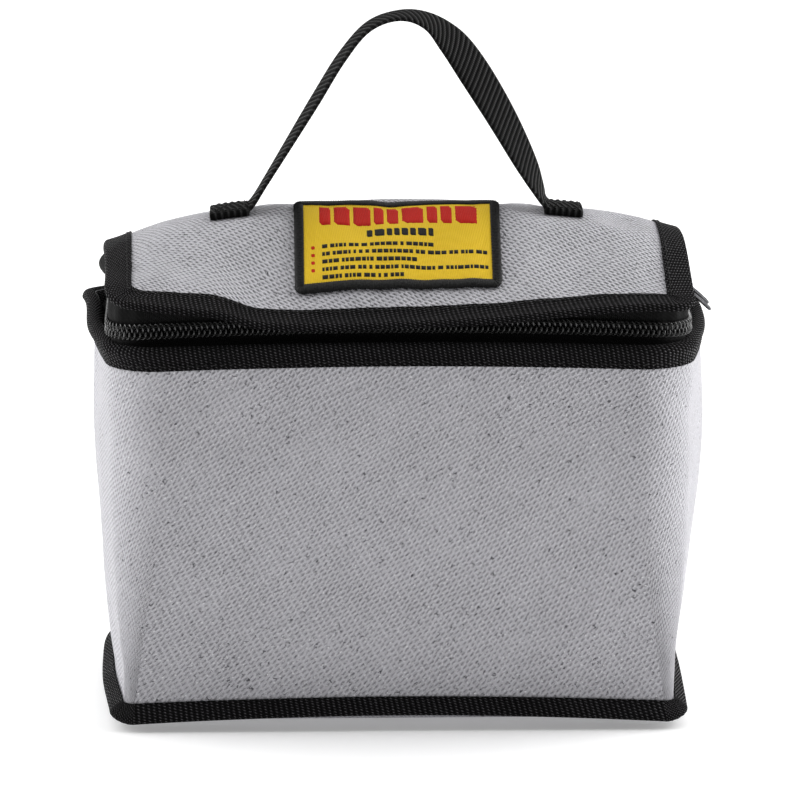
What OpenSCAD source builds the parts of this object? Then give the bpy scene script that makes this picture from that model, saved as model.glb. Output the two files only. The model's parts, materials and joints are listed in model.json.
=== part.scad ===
// Soft fire-resistant bag for lithium polymer batteries: a boxy fabric body, a domed lid hinged along
// the back, a coil zipper round the other three sides and a webbing handle sewn to the lid's crown.
// +X is to the right, +Y goes back from the front panel, +Z is up; the origin is on the table, mid-base.

/* [Body] */
// Width over the outer fabric at the rim, at the middle of its bulging sides
body_w = 222; // [200:1:240]
// Depth over the outer fabric at the rim
body_d = 115; // [105:1:130]
// Height of the rim above the table
rim_z = 140; // [125:1:160]
// How far the sides bulge at the rim, between the corners
top_bulge = 6.6; // [4:0.1:7]

/* [Layers] */
// Thickness of the coated glass-fibre outer fabric
fabric_t = 0.8; // [0.6:0.1:1.2]
// Thickness of the foam boards
foam_t = 1.6; // [1.2:0.1:2.4]
// Thickness of the lining cloth
lining_t = 0.5; // [0.4:0.1:0.8]
// Thickness of the edge binding tape
tape_t = 0.7; // [0.5:0.1:1]
// Width of tape that shows on each side of a bound edge
tape_w = 9.5; // [8:0.5:11]

/* [Lid] */
// Height of the lid's bound edge
lid_edge_z = 155; // [154:0.5:158]
// Rise of the lid's crown above its edge
crown_h = 29; // [10:1:32]
// How far the middle of the front edge droops below the corners
front_droop = 7.4; // [0:0.1:7.6]

/* [Handle] */
// Width of the handle webbing
strap_w = 15; // [12:1:18]
// Thickness of the handle webbing
strap_t = 1.6; // [1.2:0.1:2]
// Length of webbing sewn flat at each end
sewn_l = 14; // [12:1:18]

/* [Label] */
// Width of the label patch over its border
label_w = 74; // [60:1:78]
// Depth of the label patch over its border, in plan
label_d = 44; // [30:1:45]
// Width of the overlocked border
border_w = 5; // [3:0.5:6]

/* [Zipper] */
// Height of the middle of the zipper chain
chain_z = 145; // [145:0.1:145.2]
// Height of one row of coil
coil_h = 2.2; // [1.8:0.1:2.3]
// Thickness of the coil
coil_t = 2.05; // [1.8:0.05:2.2]
// Length of a zipper slider
slider_l = 9; // [8:0.5:10]
// Length of the wire loop on a zipper slider
pull_l = 13; // [10:1:16]

/* [Hidden] */

gap = 0.1;                     // clearance between layers that lie on each other
grey = "#a9a9b2";
black = "#1c1b1e";
corner_steps = 4;              // segments in each corner arc
long_steps = 8;                // segments along the front and the back
short_steps = 5;               // segments along each side
per_ring = 2 * (long_steps + 1) + 2 * (short_steps + 1) + 4 * (corner_steps - 1);
zip_last = 2 * (short_steps + 1) + (long_steps + 1) + 2 * (corner_steps - 1) - 1;
front_first = short_steps + corner_steps;                 // ring index of the front's left end
front_last = front_first + long_steps;
right_first = front_last + corner_steps;
right_last = right_first + short_steps;
back_first = right_last + corner_steps;
back_last = back_first + long_steps;

// ---- Plan of the body: a rounded rectangle that narrows towards the base ----
top_r = 18;                            // corner radius at the rim
base_r = 2.5;                          // corner radius at the base
taper_h = 110;                         // the walls are straight above this height
side_narrowing = 4;                    // the corners draw in by this much each side towards the base
base_narrowing = 2.5;                  // the depth narrows by this much each side towards the base
base_bulge = 1.5;                      // how far the sides bulge at the base

function swell(z) = pow(sin(90 * min(max(z, 0) / taper_h, 1)), 1.3);
function wall_r(z) = base_r + (top_r - base_r) * swell(z);
function bulge(z) = base_bulge + (top_bulge - base_bulge) * swell(z);
function half_w(z) = body_w / 2 - top_bulge - side_narrowing * (1 - swell(z));
function half_d(z) = body_d / 2 - base_narrowing * (1 - swell(z));

// Points of a rounded rectangle, from the back of the left side, forwards and round anticlockwise.
function rounded(a, b, r, cy = 0) = let (s = a - r, t = b - r) concat(
    [for (j = [0:short_steps]) [-a, cy + t * (1 - 2 * j / short_steps)]],
    [for (i = [1:corner_steps - 1]) arc_point(-s, cy - t, r, 180 + 90 * i / corner_steps)],
    [for (j = [0:long_steps]) [s * (2 * j / long_steps - 1), cy - b]],
    [for (i = [1:corner_steps - 1]) arc_point(s, cy - t, r, 270 + 90 * i / corner_steps)],
    [for (j = [0:short_steps]) [a, cy + t * (2 * j / short_steps - 1)]],
    [for (i = [1:corner_steps - 1]) arc_point(s, cy + t, r, 90 * i / corner_steps)],
    [for (j = [0:long_steps]) [s * (1 - 2 * j / long_steps), cy + b]],
    [for (i = [1:corner_steps - 1]) arc_point(-s, cy + t, r, 90 + 90 * i / corner_steps)]);
function arc_point(x, y, r, q) = [x + r * cos(q), y + r * sin(q)];

// A ring of the body at height z, moved outwards by t; its sides bow out between the corners.
function wall_ring(t, z) = let (b = half_d(z) + t)
    [for (p = rounded(half_w(z) + t, b, max(wall_r(z) + t, 0.5)))
        [p.x + sign(p.x) * bulge(z) * (1 - pow(p.y / b, 2)), p.y, z]];

// ---- Sweeps: rings are lists of points, in anticlockwise order round the section ----
// Two triangles between rings a and b, for the points k and k2. Layers that lie on each other are
// cut along the same diagonal, so that their facets stay parallel; inwards takes the other one.
function cell(a, b, k, k2, inwards) = inwards
    ? [[a + k, b + k, a + k2], [b + k, b + k2, a + k2]]
    : [[a + k, b + k, b + k2], [a + k, b + k2, a + k2]];

module band(rings, closed = true, first = 0, last = per_ring - 1, inwards = []) {
    n = last - first + 1;
    m = len(rings);
    spans = closed ? n : n - 1;
    polyhedron(
        points = [for (r = rings) for (k = [first:last]) r[k]],
        faces = concat(
            [for (i = [0:m - 1]) for (k = [0:spans - 1])
                each cell(i * n, (i + 1) % m * n, k, (k + 1) % n, len(search(i, inwards)) > 0)],
            closed ? [] : [[for (i = [m - 1:-1:0]) i * n], [for (i = [0:m - 1]) i * n + n - 1]]));
}

// A dished sheet: rings run outwards under the sheet and back inwards over it.
module dish(under, over, under_mid, over_mid) {
    rings = concat(under, over);
    n = per_ring;
    m = len(rings);
    low = m * n;
    polyhedron(
        points = concat([for (r = rings) for (p = r) p], [under_mid, over_mid]),
        faces = concat(
            [for (i = [0:m - 2]) for (k = [0:n - 1])
                each cell(i * n, (i + 1) * n, k, (k + 1) % n, i >= len(under))],
            [for (k = [0:n - 1]) [low, k, (k + 1) % n]],
            [for (k = [0:n - 1]) [(m - 1) * n + k, low + 1, (m - 1) * n + (k + 1) % n]]));
}

// ---- Walls ----
lip = [4.4, -7.9];                    // the bound seam at the base runs out and down by this much
seam_z = 9;                           // height where wall and base fabric meet
wall_top = rim_z - tape_t - gap;
levels = [25, 40, 60, 85, 110];       // heights at which the wall's shape is followed
foam_out = -(fabric_t + gap);
foam_in = foam_out - foam_t;
lining_out = foam_in - gap;
lining_in = lining_out - lining_t;

function span(a, b) = [for (i = [a:b]) i];
function up(t, from, to) = [for (z = concat([from], levels, [to])) wall_ring(t, z)];
function down(t, from, to) = [for (z = concat([from], [for (i = [len(levels) - 1:-1:0]) levels[i]], [to]))
    wall_ring(t, z)];

module outer_wall() {
    color(grey) band(concat(
        [wall_ring(lip.x - 1, seam_z + lip.y + 0.5), wall_ring(lip.x, seam_z + lip.y + 1.1)],
        up(0, seam_z + 0.5, wall_top), down(-fabric_t, wall_top, seam_z)),
        inwards = span(9, 14));
}

module foam_board(first, last) {
    foam_low = 12;
    foam_high = 136;
    color("#e4e2da") band(concat(up(foam_out, foam_low, foam_high), down(foam_in, foam_high, foam_low)),
        closed = false, first = first, last = last, inwards = span(7, 12));
}

module wall_lining() {
    lining_low = 7.6;
    color("#8d8d92") band(concat(up(lining_out, lining_low, wall_top), down(lining_in, wall_top, lining_low)),
        inwards = span(7, 12));
}

// ---- Base: the fabric rests on the table in the middle and rises to the bound seam ----
flat_inset = 12;                      // the base is flat on the table inside this distance from the wall

module base_fabric() {
    under = [wall_ring(-flat_inset, 0), wall_ring(-1.2, seam_z - 1.9),
             wall_ring(lip.x - 2, seam_z + lip.y - 0.15)];
    over = [wall_ring(lip.x - 1.35, seam_z + lip.y + 0.35), wall_ring(-1, seam_z - 0.75),
            wall_ring(-flat_inset + 0.6, fabric_t)];
    color(grey) dish(under, over, [0, 0, 0], [0, 0, fabric_t]);
}

module base_slab(z, t, inset) {
    translate([0, 0, z]) linear_extrude(t)
        polygon(rounded(half_w(0) - inset, half_d(0) - inset, 4));
}

foam_floor = fabric_t + gap;
module base_foam_board() { color("#e4e2da") base_slab(foam_floor, foam_t, 14); }
module base_lining() { color("#8d8d92") base_slab(foam_floor + foam_t + gap, lining_t, 10); }

module base_binding() {
    color(black) band([
        wall_ring(lip.x - 2.3, 0), wall_ring(lip.x - 0.3, 0), wall_ring(lip.x + 1, seam_z + lip.y + 0.9),
        wall_ring(0.95, seam_z + 0.55), wall_ring(0.25, seam_z + 0.4),
        wall_ring(lip.x + 0.3, seam_z + lip.y + 0.85), wall_ring(lip.x - 0.7, seam_z + lip.y + 0.1),
        wall_ring(lip.x - 2.2, seam_z + lip.y - 0.55), wall_ring(-1.1, seam_z - 2.4),
        wall_ring(-1.5, seam_z - 3.2)], inwards = [4, 7]);
}

// ---- Rim: the tape is folded over the wall's top edge and flares outwards ----
flare = 0.7;
rim_low = rim_z - tape_w - 0.5;
module rim_binding() {
    inner = lining_in - gap;
    color(black) band([
        wall_ring(gap, rim_low), wall_ring(tape_t + gap, rim_low), wall_ring(tape_t + flare + gap, rim_z - 1.2),
        wall_ring(tape_t + flare - 0.5, rim_z), wall_ring(inner - tape_t, rim_z),
        wall_ring(inner - tape_t, rim_low), wall_ring(inner, rim_low), wall_ring(inner, wall_top + gap),
        wall_ring(gap, wall_top + gap)]);
}

// ---- Zipper: a U round the left side, the front and the right side ----
zip_x = 102.8;                        // outer face of the tape on the right side
zip_y = 50.4;                         // outer face of the tape in front, from the middle of the bag
zip_r = 12;                           // corner radius of the tape
zip_end_y = 42;                       // where the straight sides of the zipper end
zip_tape_t = 0.5;
divider = 0.8;                        // half the height of the gap that the slider's divider runs in
zip_sewn = lining_in - 2 * gap - tape_t;

// A ring of the zipper at height z, moved outwards by t; its sides are straight, for the sliders.
zip_mid = (zip_end_y + zip_r - zip_y) / 2;
function zip_ring(t, z) =
    [for (p = rounded(zip_x + t, zip_y + zip_mid + t, zip_r + t, zip_mid)) [p.x, p.y, z]];

module lower_zipper_tape() {
    top = chain_z - divider;
    color(black) band([
        wall_ring(zip_sewn - zip_tape_t, rim_low), wall_ring(zip_sewn, rim_low),
        wall_ring(zip_sewn, rim_z - 6), zip_ring(0, rim_z + 0.4), zip_ring(0, top),
        zip_ring(-zip_tape_t, top), zip_ring(-zip_tape_t, rim_z + 0.3),
        wall_ring(zip_sewn - zip_tape_t, rim_z - 6.1)],
        closed = false, last = zip_last);
}

module coil_row(z) {
    color("#2b2b2e") band([zip_ring(gap, z), zip_ring(gap + coil_t, z), zip_ring(gap + coil_t, z + coil_h),
        zip_ring(gap, z + coil_h)], closed = false, last = zip_last);
}

module lower_zipper_coil() { coil_row(chain_z - divider - coil_h); }
module upper_zipper_coil() { coil_row(chain_z + divider); }

module zipper_end_stops() {
    stop_l = 2;
    color("#3a3a3e") for (side = [-1, 1])
        translate([side < 0 ? -zip_x - coil_t : zip_x, zip_end_y + gap, chain_z - divider - coil_h])
            cube([coil_t, stop_l, coil_h + 0.3]);
}

// The strip that joins the lid to the back wall; above it the fabric bends about the hinge line.
strip_t = zip_tape_t;
hinge_y = 50.15;                      // the line that the lid turns about
hinge_z = 150;
lid_sweep = 8.6;                      // the lid's back edge swings through this radius and a little room
module back_hinge_strip() {
    long = 170;
    high = hinge_z - lid_sweep;
    sewn = half_d(rim_z) + zip_sewn - strip_t;
    free = hinge_y - strip_t / 2;
    color(black) translate([long / 2, 0, 0]) rotate([90, 0, -90]) linear_extrude(long)
        polygon([[-sewn, rim_low], [-sewn - strip_t, rim_low], [-sewn - strip_t, rim_z - 6],
                 [-free - strip_t, high], [-free, high], [-sewn, rim_z - 6.1]]);
}

// ---- Lid: a dome over a rounded rectangle, pulled up along its crown ----
lid_front = -58;
lid_back = 55;
lid_half_w = 108.5;
lid_half_d = (lid_back - lid_front) / 2;
lid_mid = (lid_back + lid_front) / 2;
lid_r = 8;
side_arch = 0.52;                     // share of the crown's rise that the side edges keep

function lid_z(x, y) = let (u = min(abs(x) / lid_half_w, 1), v = min(abs(y - lid_mid) / lid_half_d, 1))
    lid_edge_z - front_droop * max(-y / -lid_front, 0) * pow(cos(90 * u), 2)
    + crown_h * (1 - (1 - side_arch) * pow(u, 2.6)) * (1 - pow(v, 1.5));
function on_lid(p, h) = [p.x, p.y, lid_z(p.x, p.y) + h];
function lid_plan(inset) = rounded(lid_half_w - inset, lid_half_d - inset, max(lid_r - inset, 0.8), lid_mid);
function lid_ring(inset, h) = [for (p = lid_plan(inset)) on_lid(p, h)];
function lid_shrunk(inset, s, h) =
    [for (p = lid_plan(inset)) on_lid([p.x * s, lid_mid + (p.y - lid_mid) * s], h)];

shrinks = [0.2, 0.4, 0.6, 0.8];       // rings of the dome, from the middle outwards
foam_inset = tape_w + 1;              // the foam board ends just inside the bound edge
module lid_sheet(insets, low, high) {
    last = insets[0];
    under = concat([for (s = shrinks) lid_shrunk(last, s, low)], [for (i = insets) lid_ring(i, low)]);
    over = concat([for (k = [len(insets) - 1:-1:0]) lid_ring(insets[k], high)],
                  [for (k = [len(shrinks) - 1:-1:0]) lid_shrunk(last, shrinks[k], high)]);
    dish(under, over, on_lid([0, lid_mid], low), on_lid([0, lid_mid], high));
}

lid_foam_top = -fabric_t - gap;
lid_lining_top = lid_foam_top - foam_t - gap;
lid_under = lid_lining_top - lining_t;          // underside of the lid's lining, from its top surface
module lid_fabric() { color(grey) lid_sheet([foam_inset, tape_w, 0.9 + gap], -fabric_t, 0); }
module lid_foam_board() { color("#e4e2da") lid_sheet([foam_inset], lid_foam_top - foam_t, lid_foam_top); }
module lid_lining() { color("#8d8d92") lid_sheet([foam_inset, tape_w, 0.9 + gap], lid_under, lid_lining_top); }

module lid_binding() {
    color(black) band([
        lid_ring(0, lid_under - gap - tape_t), lid_ring(0, gap + tape_t), lid_ring(tape_w, gap + tape_t),
        lid_ring(tape_w, gap), lid_ring(0.9, gap), lid_ring(0.9, lid_under - gap),
        lid_ring(tape_w, lid_under - gap), lid_ring(tape_w, lid_under - gap - tape_t)], inwards = [5]);
}

// The upper tape reaches up to the lid's lower edge tape all round the U.
module upper_zipper_tape() {
    out = zip_ring(0, chain_z + divider);
    inner = zip_ring(-zip_tape_t, chain_z + divider);
    under = lid_under - 2 * gap - tape_t - 0.3;
    color(black) band([inner, out, [for (p = out) on_lid(p, under)], [for (p = inner) on_lid(p, under)]],
        closed = false, last = zip_last);
}

// ---- Label: a woven patch with an overlocked border, on the front slope of the lid ----
label_back = -1;
patch_lift = 0.4;
module lid_tile(x0, x1, y0, y1, low, high, nx, ny) {
    pts = [for (h = [low, high]) for (j = [0:ny]) for (i = [0:nx])
        on_lid([x0 + (x1 - x0) * i / nx, y0 + (y1 - y0) * j / ny], h)];
    w = nx + 1;
    top = w * (ny + 1);
    function at(i, j, l) = l * top + j * w + i;
    polyhedron(points = pts, faces = concat(
        [for (j = [0:ny - 1]) for (i = [0:nx - 1]) each [
            [at(i, j, 0), at(i + 1, j, 0), at(i + 1, j + 1, 0)], [at(i, j, 0), at(i + 1, j + 1, 0), at(i, j + 1, 0)],
            [at(i, j, 1), at(i + 1, j + 1, 1), at(i + 1, j, 1)], [at(i, j, 1), at(i, j + 1, 1), at(i + 1, j + 1, 1)]]],
        [for (i = [0:nx - 1]) each [
            [at(i, 0, 0), at(i, 0, 1), at(i + 1, 0, 1)], [at(i, 0, 0), at(i + 1, 0, 1), at(i + 1, 0, 0)],
            [at(i, ny, 0), at(i + 1, ny, 1), at(i, ny, 1)], [at(i, ny, 0), at(i + 1, ny, 0), at(i + 1, ny, 1)]]],
        [for (j = [0:ny - 1]) each [
            [at(0, j, 0), at(0, j + 1, 1), at(0, j, 1)], [at(0, j, 0), at(0, j + 1, 0), at(0, j + 1, 1)],
            [at(nx, j, 0), at(nx, j, 1), at(nx, j + 1, 1)], [at(nx, j, 0), at(nx, j + 1, 1), at(nx, j + 1, 0)]]]));
}

module label_patch() {
    in = border_w + gap;
    color("#f2c62c") lid_tile(-label_w / 2 + in, label_w / 2 - in, label_back - label_d + in, label_back - in,
        patch_lift, patch_lift + 1, 6, 4);
}

module label_border() {
    low = patch_lift;
    high = patch_lift + 1.8;
    color(black) {
        for (y = [label_back - label_d, label_back - border_w])
            lid_tile(-label_w / 2, label_w / 2, y, y + border_w, low, high, 6, 1);
        for (x = [-label_w / 2, label_w / 2 - border_w])
            lid_tile(x, x + border_w, label_back - label_d + border_w, label_back - border_w, low, high, 1, 4);
    }
}

// ---- Handle: one length of webbing, its ends sewn flat to the crown ----
left_root = -54;                      // where the free webbing leaves the left sewn end
right_root = 57;
handle_z = 185.5;                     // height of the line that the handle swings about

module left_handle_end() {
    color(black) lid_tile(left_root - 1 - sewn_l, left_root - 1, -strap_w / 2, strap_w / 2,
        patch_lift, patch_lift + strap_t, 2, 4);
}
module right_handle_end() {
    color(black) lid_tile(right_root + 1, right_root + 1 + sewn_l, -strap_w / 2, strap_w / 2,
        patch_lift, patch_lift + strap_t, 2, 4);
}

// Two short rows of thick thread across each sewn end.
module handle_stitching() {
    thread = 0.5;
    on_top = patch_lift + strap_t + gap;
    color("#101012") for (x = [left_root - sewn_l, left_root - 4, right_root + 3, right_root + sewn_l])
        lid_tile(x, x + 1, -strap_w / 2 + 2, strap_w / 2 - 2, on_top, on_top + thread, 1, 4);
}

// Route of the free webbing: distance to the right, height, and how far its face turns to the front.
route = [[left_root, handle_z, 0], [-49, 193, 0], [-40, 207, 4], [-30, 222, 8], [-20, 237, 6], [-10, 247, 2],
         [1, 250, 0], [11, 248, 14], [20, 241, 38], [28, 231, 46], [38, 216, 38], [48, 200, 24],
         [54, 190.5, 8], [right_root, handle_z, 0]];
route_steps = 2;                      // sections between two points of the route
pinch_l = 16;                         // the webbing gathers over this distance from each sewn end
pinch_w = 3;

function blend4(a, b, c, d, t) = 0.5 * (2 * b + (c - a) * t + (2 * a - 5 * b + 4 * c - d) * t * t
    + (3 * b - a - 3 * c + d) * t * t * t);
function route_at(i, t) = let (n = len(route) - 1)
    blend4(route[max(i - 1, 0)], route[i], route[i + 1], route[min(i + 2, n)], t);
sections = concat([for (i = [0:len(route) - 2]) for (j = [0:route_steps - 1]) route_at(i, j / route_steps)],
    [route[len(route) - 1]]);
function width_at(p) =
    let (away = min(norm([p.x - left_root, p.y - handle_z]), norm([p.x - right_root, p.y - handle_z])))
    pinch_w + (strap_w - pinch_w) * min(away / pinch_l, 1);

module handle_strap() {
    n = len(sections);
    function along(i) = let (d = sections[min(i + 1, n - 1)] - sections[max(i - 1, 0)]) [d.x, d.y] / norm([d.x, d.y]);
    function corner(i, a, b) = let (p = sections[i], d = along(i), out = [-d.y, d.x], c = cos(p.z), s = sin(p.z))
        [p.x + out.x * (b * c + a * s), a * c - b * s, p.y + out.y * (b * c + a * s)];
    color(black) polyhedron(
        points = [for (i = [0:n - 1]) let (w = width_at(sections[i]) / 2, h = strap_t / 2)
            each [corner(i, -w, -h), corner(i, w, -h), corner(i, w, h), corner(i, -w, h)]],
        faces = concat(
            [for (i = [0:n - 2]) for (k = [0:3]) let (k2 = (k + 1) % 4) each
                [[i * 4 + k, i * 4 + 4 + k2, i * 4 + k2], [i * 4 + k, i * 4 + 4 + k, i * 4 + 4 + k2]]],
            [[0, 1, 2], [0, 2, 3], [n * 4 - 4, n * 4 - 2, n * 4 - 3], [n * 4 - 4, n * 4 - 1, n * 4 - 2]]));
}

// ---- Sliders: two meet on the right side, each open at the top so that the lid's row can lift out ----
plate_t = 1;
plate_h = 8.4;
bar_r = 0.7;
bar_out = 2;                          // the bar that the pull turns on stands this far off the plate
arm_y = 3.3;                          // half the room between the two arms that hold the bar
front_slider_y = 14;
rear_slider_y = 25;
plate_x = zip_x + coil_t + 0.45;      // inner face of a slider's outer plate
bar_x = plate_x + plate_t + bar_out;

// A plate seen from the right, its wide end towards +Y when nose is 1.
module slider_plate(x, nose) {
    l = slider_l / 2;
    h = plate_h / 2;
    translate([x, 0, chain_z]) rotate([90, 0, 90]) linear_extrude(plate_t)
        polygon([[-l * nose, -h + 1], [-l * nose, h - 1], [-l * nose / 4, h], [l * nose, h],
                 [l * nose, -h], [-l * nose / 4, -h]]);
}

module slider(y, nose) {
    inner_x = zip_x - zip_tape_t - 0.3 - plate_t;
    divider_l = 2.6;
    rail = 0.8;
    color("#3b3b40") translate([0, y, 0]) {
        slider_plate(plate_x, nose);
        slider_plate(inner_x, nose);
        // divider between the two rows, at the wide end
        translate([inner_x + plate_t, nose > 0 ? slider_l / 2 - divider_l : -slider_l / 2, chain_z - 0.5])
            cube([plate_x - inner_x - plate_t, divider_l, 1]);
        // rail that hooks under the lower row
        translate([zip_x + 0.5, -slider_l / 2 + 1, chain_z - plate_h / 2])
            cube([plate_x - zip_x - 0.5, slider_l - 2, rail]);
        // bridge and its bar
        for (s = [-1, 1]) translate([plate_x + plate_t, s > 0 ? arm_y : -arm_y - 1, chain_z - bar_r])
            cube([bar_out, 1, 2 * bar_r]);
        translate([bar_x, -arm_y - 1, chain_z]) rotate([-90, 0, 0])
            cylinder(r = bar_r, h = 2 * arm_y + 2, $fn = 32);
    }
}

module front_slider() { slider(front_slider_y, 1); }
module rear_slider() { slider(rear_slider_y, -1); }

// A wire loop on an eye that turns on the slider's bar; it leans down over the rim.
wire_r = 0.7;
loop_half = 1.9;
lean_down = 44;
module pull(y) {
    eye_half = 2.5;
    run = pull_l - loop_half - wire_r;
    color("#6c6c72") translate([bar_x, y, chain_z]) {
        rotate([0, lean_down, 0]) {
            for (s = [-1, 1]) translate([1.15, s * loop_half, 0]) rotate([0, 90, 0])
                cylinder(r = wire_r, h = run - 1.15, $fn = 24);
            translate([run, 0, 0]) rotate([0, 0, -90])
                rotate_extrude(angle = 180, $fn = 48) translate([loop_half, 0]) circle(r = wire_r, $fn = 24);
        }
        difference() {
            translate([0, -eye_half, 0]) rotate([-90, 0, 0]) cylinder(r = 1.4, h = 2 * eye_half, $fn = 40);
            translate([0, -eye_half - 1, 0]) rotate([-90, 0, 0])
                cylinder(r = bar_r + gap, h = 2 * eye_half + 2, $fn = 40);
        }
    }
}

module front_slider_pull() { pull(front_slider_y); }
module rear_slider_pull() { pull(rear_slider_y); }

// ---- Which node is drawn ----
outer_wall();
foam_board(front_first, front_last);  // front_foam_board
foam_board(back_first, back_last);  // back_foam_board
foam_board(0, short_steps);  // left_foam_board
foam_board(right_first, right_last);  // right_foam_board
wall_lining();
base_fabric();
base_foam_board();
base_lining();
base_binding();
rim_binding();
lower_zipper_tape();
lower_zipper_coil();
zipper_end_stops();
back_hinge_strip();
lid_fabric();
lid_foam_board();
lid_lining();
lid_binding();
upper_zipper_tape();
upper_zipper_coil();
label_patch();
label_border();
left_handle_end();
right_handle_end();
handle_stitching();
handle_strap();
front_slider();
front_slider_pull();
rear_slider();
rear_slider_pull();
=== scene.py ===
"""Looks for a soft fire-resistant battery bag: coated glass cloth, black bound seams, a coil zipper
and a webbing handle. Shapes are worked out in millimetres in the frame's own axes, and turned into
metres when a mesh is made."""

import json
import math

import bpy
import numpy as np
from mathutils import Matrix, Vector


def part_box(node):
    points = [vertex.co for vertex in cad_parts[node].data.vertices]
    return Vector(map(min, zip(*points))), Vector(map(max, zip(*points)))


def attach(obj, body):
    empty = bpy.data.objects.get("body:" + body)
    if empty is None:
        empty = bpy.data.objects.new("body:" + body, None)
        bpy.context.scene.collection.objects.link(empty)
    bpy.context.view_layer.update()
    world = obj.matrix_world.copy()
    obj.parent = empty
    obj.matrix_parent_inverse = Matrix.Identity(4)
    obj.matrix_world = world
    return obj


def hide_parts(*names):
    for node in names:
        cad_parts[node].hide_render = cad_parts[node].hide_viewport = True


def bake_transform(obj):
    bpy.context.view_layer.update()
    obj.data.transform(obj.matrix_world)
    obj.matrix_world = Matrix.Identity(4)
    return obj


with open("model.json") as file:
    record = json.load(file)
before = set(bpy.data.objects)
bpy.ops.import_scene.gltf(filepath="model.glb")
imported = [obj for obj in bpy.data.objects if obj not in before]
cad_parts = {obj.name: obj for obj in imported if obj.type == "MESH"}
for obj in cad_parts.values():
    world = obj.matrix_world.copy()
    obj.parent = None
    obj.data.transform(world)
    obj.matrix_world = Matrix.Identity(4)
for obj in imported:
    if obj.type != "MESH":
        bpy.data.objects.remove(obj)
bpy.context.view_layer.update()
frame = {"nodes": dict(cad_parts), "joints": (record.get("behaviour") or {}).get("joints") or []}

MM = 0.001
TAU = 2 * math.pi


def box_mm(node):
    """Lowest and highest corner of a CAD node, in millimetres."""
    low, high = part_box(node)
    return np.array(low) / MM, np.array(high) / MM


def joint_mm(name):
    """Place of a CAD joint, in millimetres."""
    joint = [j for j in frame["joints"] if j["name"] == name][0]
    return [p / MM for p in joint["pos_m"]]


# ---------------------------------------------------------------- driving sizes, from the frame
RIM_HIGH = box_mm("rim_binding")[1]
LID_LOW, LID_HIGH = box_mm("lid_binding")
FABRIC = 0.8                          # thickness of the coated cloth
FOAM = 1.6                            # thickness of the foam boards
LINING = 0.5                          # thickness of the lining
TAPE = 0.7                            # thickness of the binding tape
TAPE_W = 9.5                          # width of tape that shows on each side of a bound edge
GAP = 0.1                             # room between layers
RIM_Z = RIM_HIGH[2]
RIM_STANDS_OUT = 1.5                  # the rim's tape stands this far outside the wall
TOP_HALF_W = RIM_HIGH[0] - RIM_STANDS_OUT
TOP_HALF_D = RIM_HIGH[1] - RIM_STANDS_OUT
LIP_OUT, LIP_DOWN = 4.4, 5.9          # the bound seam at the base runs out and down by this much
LIP_LIFT = 2.2                        # along the sides the seam stands out flatter
LIP_BOW = 1.4                         # in the middle of the front and back its edge curls up by this much
SEAM_Z = 8.4                          # where wall and base cloth meet
RIM_TAPE_W = 8.2                      # width of the rim's tape on its outer side
BASE_R, TOP_R = 2.5, 18.0             # corner radii at the base and at the rim
LEFT_BULGES = (4.6, 6.0)              # how far the left side bows out between its corners: base, rim
RIGHT_BULGES = (0.6, 8.4)
BACK_CORNER_LIFT = 2.6                # how much higher the rim stands at the left back corner
LEFT_FLARE, RIGHT_FLARE = 3.2, 0.6    # the rim's tape leans outwards by this much more
CORNER_HALF_W = TOP_HALF_W - 9.0      # half the width at the rim's corners
SIDE_NARROWING = 3.4                  # the corners draw in by this much each side at the base
BASE_NARROWING = 2.5                  # the depth narrows by this much each side at the base
TAPER_H = 110.0                       # the walls are straight above this height
BOW = 2.7                             # the middle of the bag hangs this much higher than its corners
BARREL, FRONT_BARREL = 1.1, 0.9       # half-way up, the sides and the front and back stand out by this more
LEFT_SKEW, RIGHT_SKEW = 0.4, 0.27     # how far behind its middle each side bows out most, as a share
LEFT_FULL, RIGHT_FULL = 3.4, 2.6      # how full each side's bow stays towards its ends
BACK_CORNER_OUT = 2.6                 # the left back corner stands out by this much more at the rim
FLARE_BELOW, FLARE_RISE = 11.0, 8.0   # the rim's lean starts this far under the rim, and takes this height

FOAM_OUT = -(FABRIC + GAP)
FOAM_IN = FOAM_OUT - FOAM
LINING_OUT = FOAM_IN - GAP
LINING_IN = LINING_OUT - LINING

# ---------------------------------------------------------------- plan of the body
LONG, SHORT, TURN = 120, 56, 14       # steps along the front or back, along a side, in a corner


def plan_samples():
    """For each sample of the ring: which way its corner centre lies, and its outward direction."""
    rows = []
    straight = [((-1, 1), (-1, -1), 180, SHORT), ((-1, -1), (1, -1), 270, LONG),
                ((1, -1), (1, 1), 0, SHORT), ((1, 1), (-1, 1), 90, LONG)]
    for (x0, y0), (x1, y1), angle, steps in straight:
        for i in range(steps + 1):
            f = i / steps
            rows.append((x0 + (x1 - x0) * f, y0 + (y1 - y0) * f, math.radians(angle)))
        for i in range(1, TURN):
            rows.append((x1, y1, math.radians(angle + 90 * i / TURN)))
    data = np.array(rows)
    return data[:, 0], data[:, 1], np.cos(data[:, 2]), np.sin(data[:, 2])


FX, FY, DX, DY = plan_samples()
RING = len(FX)
ZIP_LAST = 2 * (SHORT + 1) + (LONG + 1) + 2 * (TURN - 1) - 1    # the zipper ends at the right side's back


def eased(f):
    """0 to 1, starting and ending softly."""
    return f * f * (3 - 2 * f)


def rounded(a, b, r, cy=0.0):
    """Points of a rounded rectangle, one for each sample."""
    return FX * (a - r) + DX * r, cy + FY * (b - r) + DY * r


def swell(z):
    """How much of its full width the wall has at height z: 0 at the base and 1 where it is straight."""
    return math.sin(0.5 * math.pi * min(max(z, 0) / TAPER_H, 1)) ** 1.3


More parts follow.
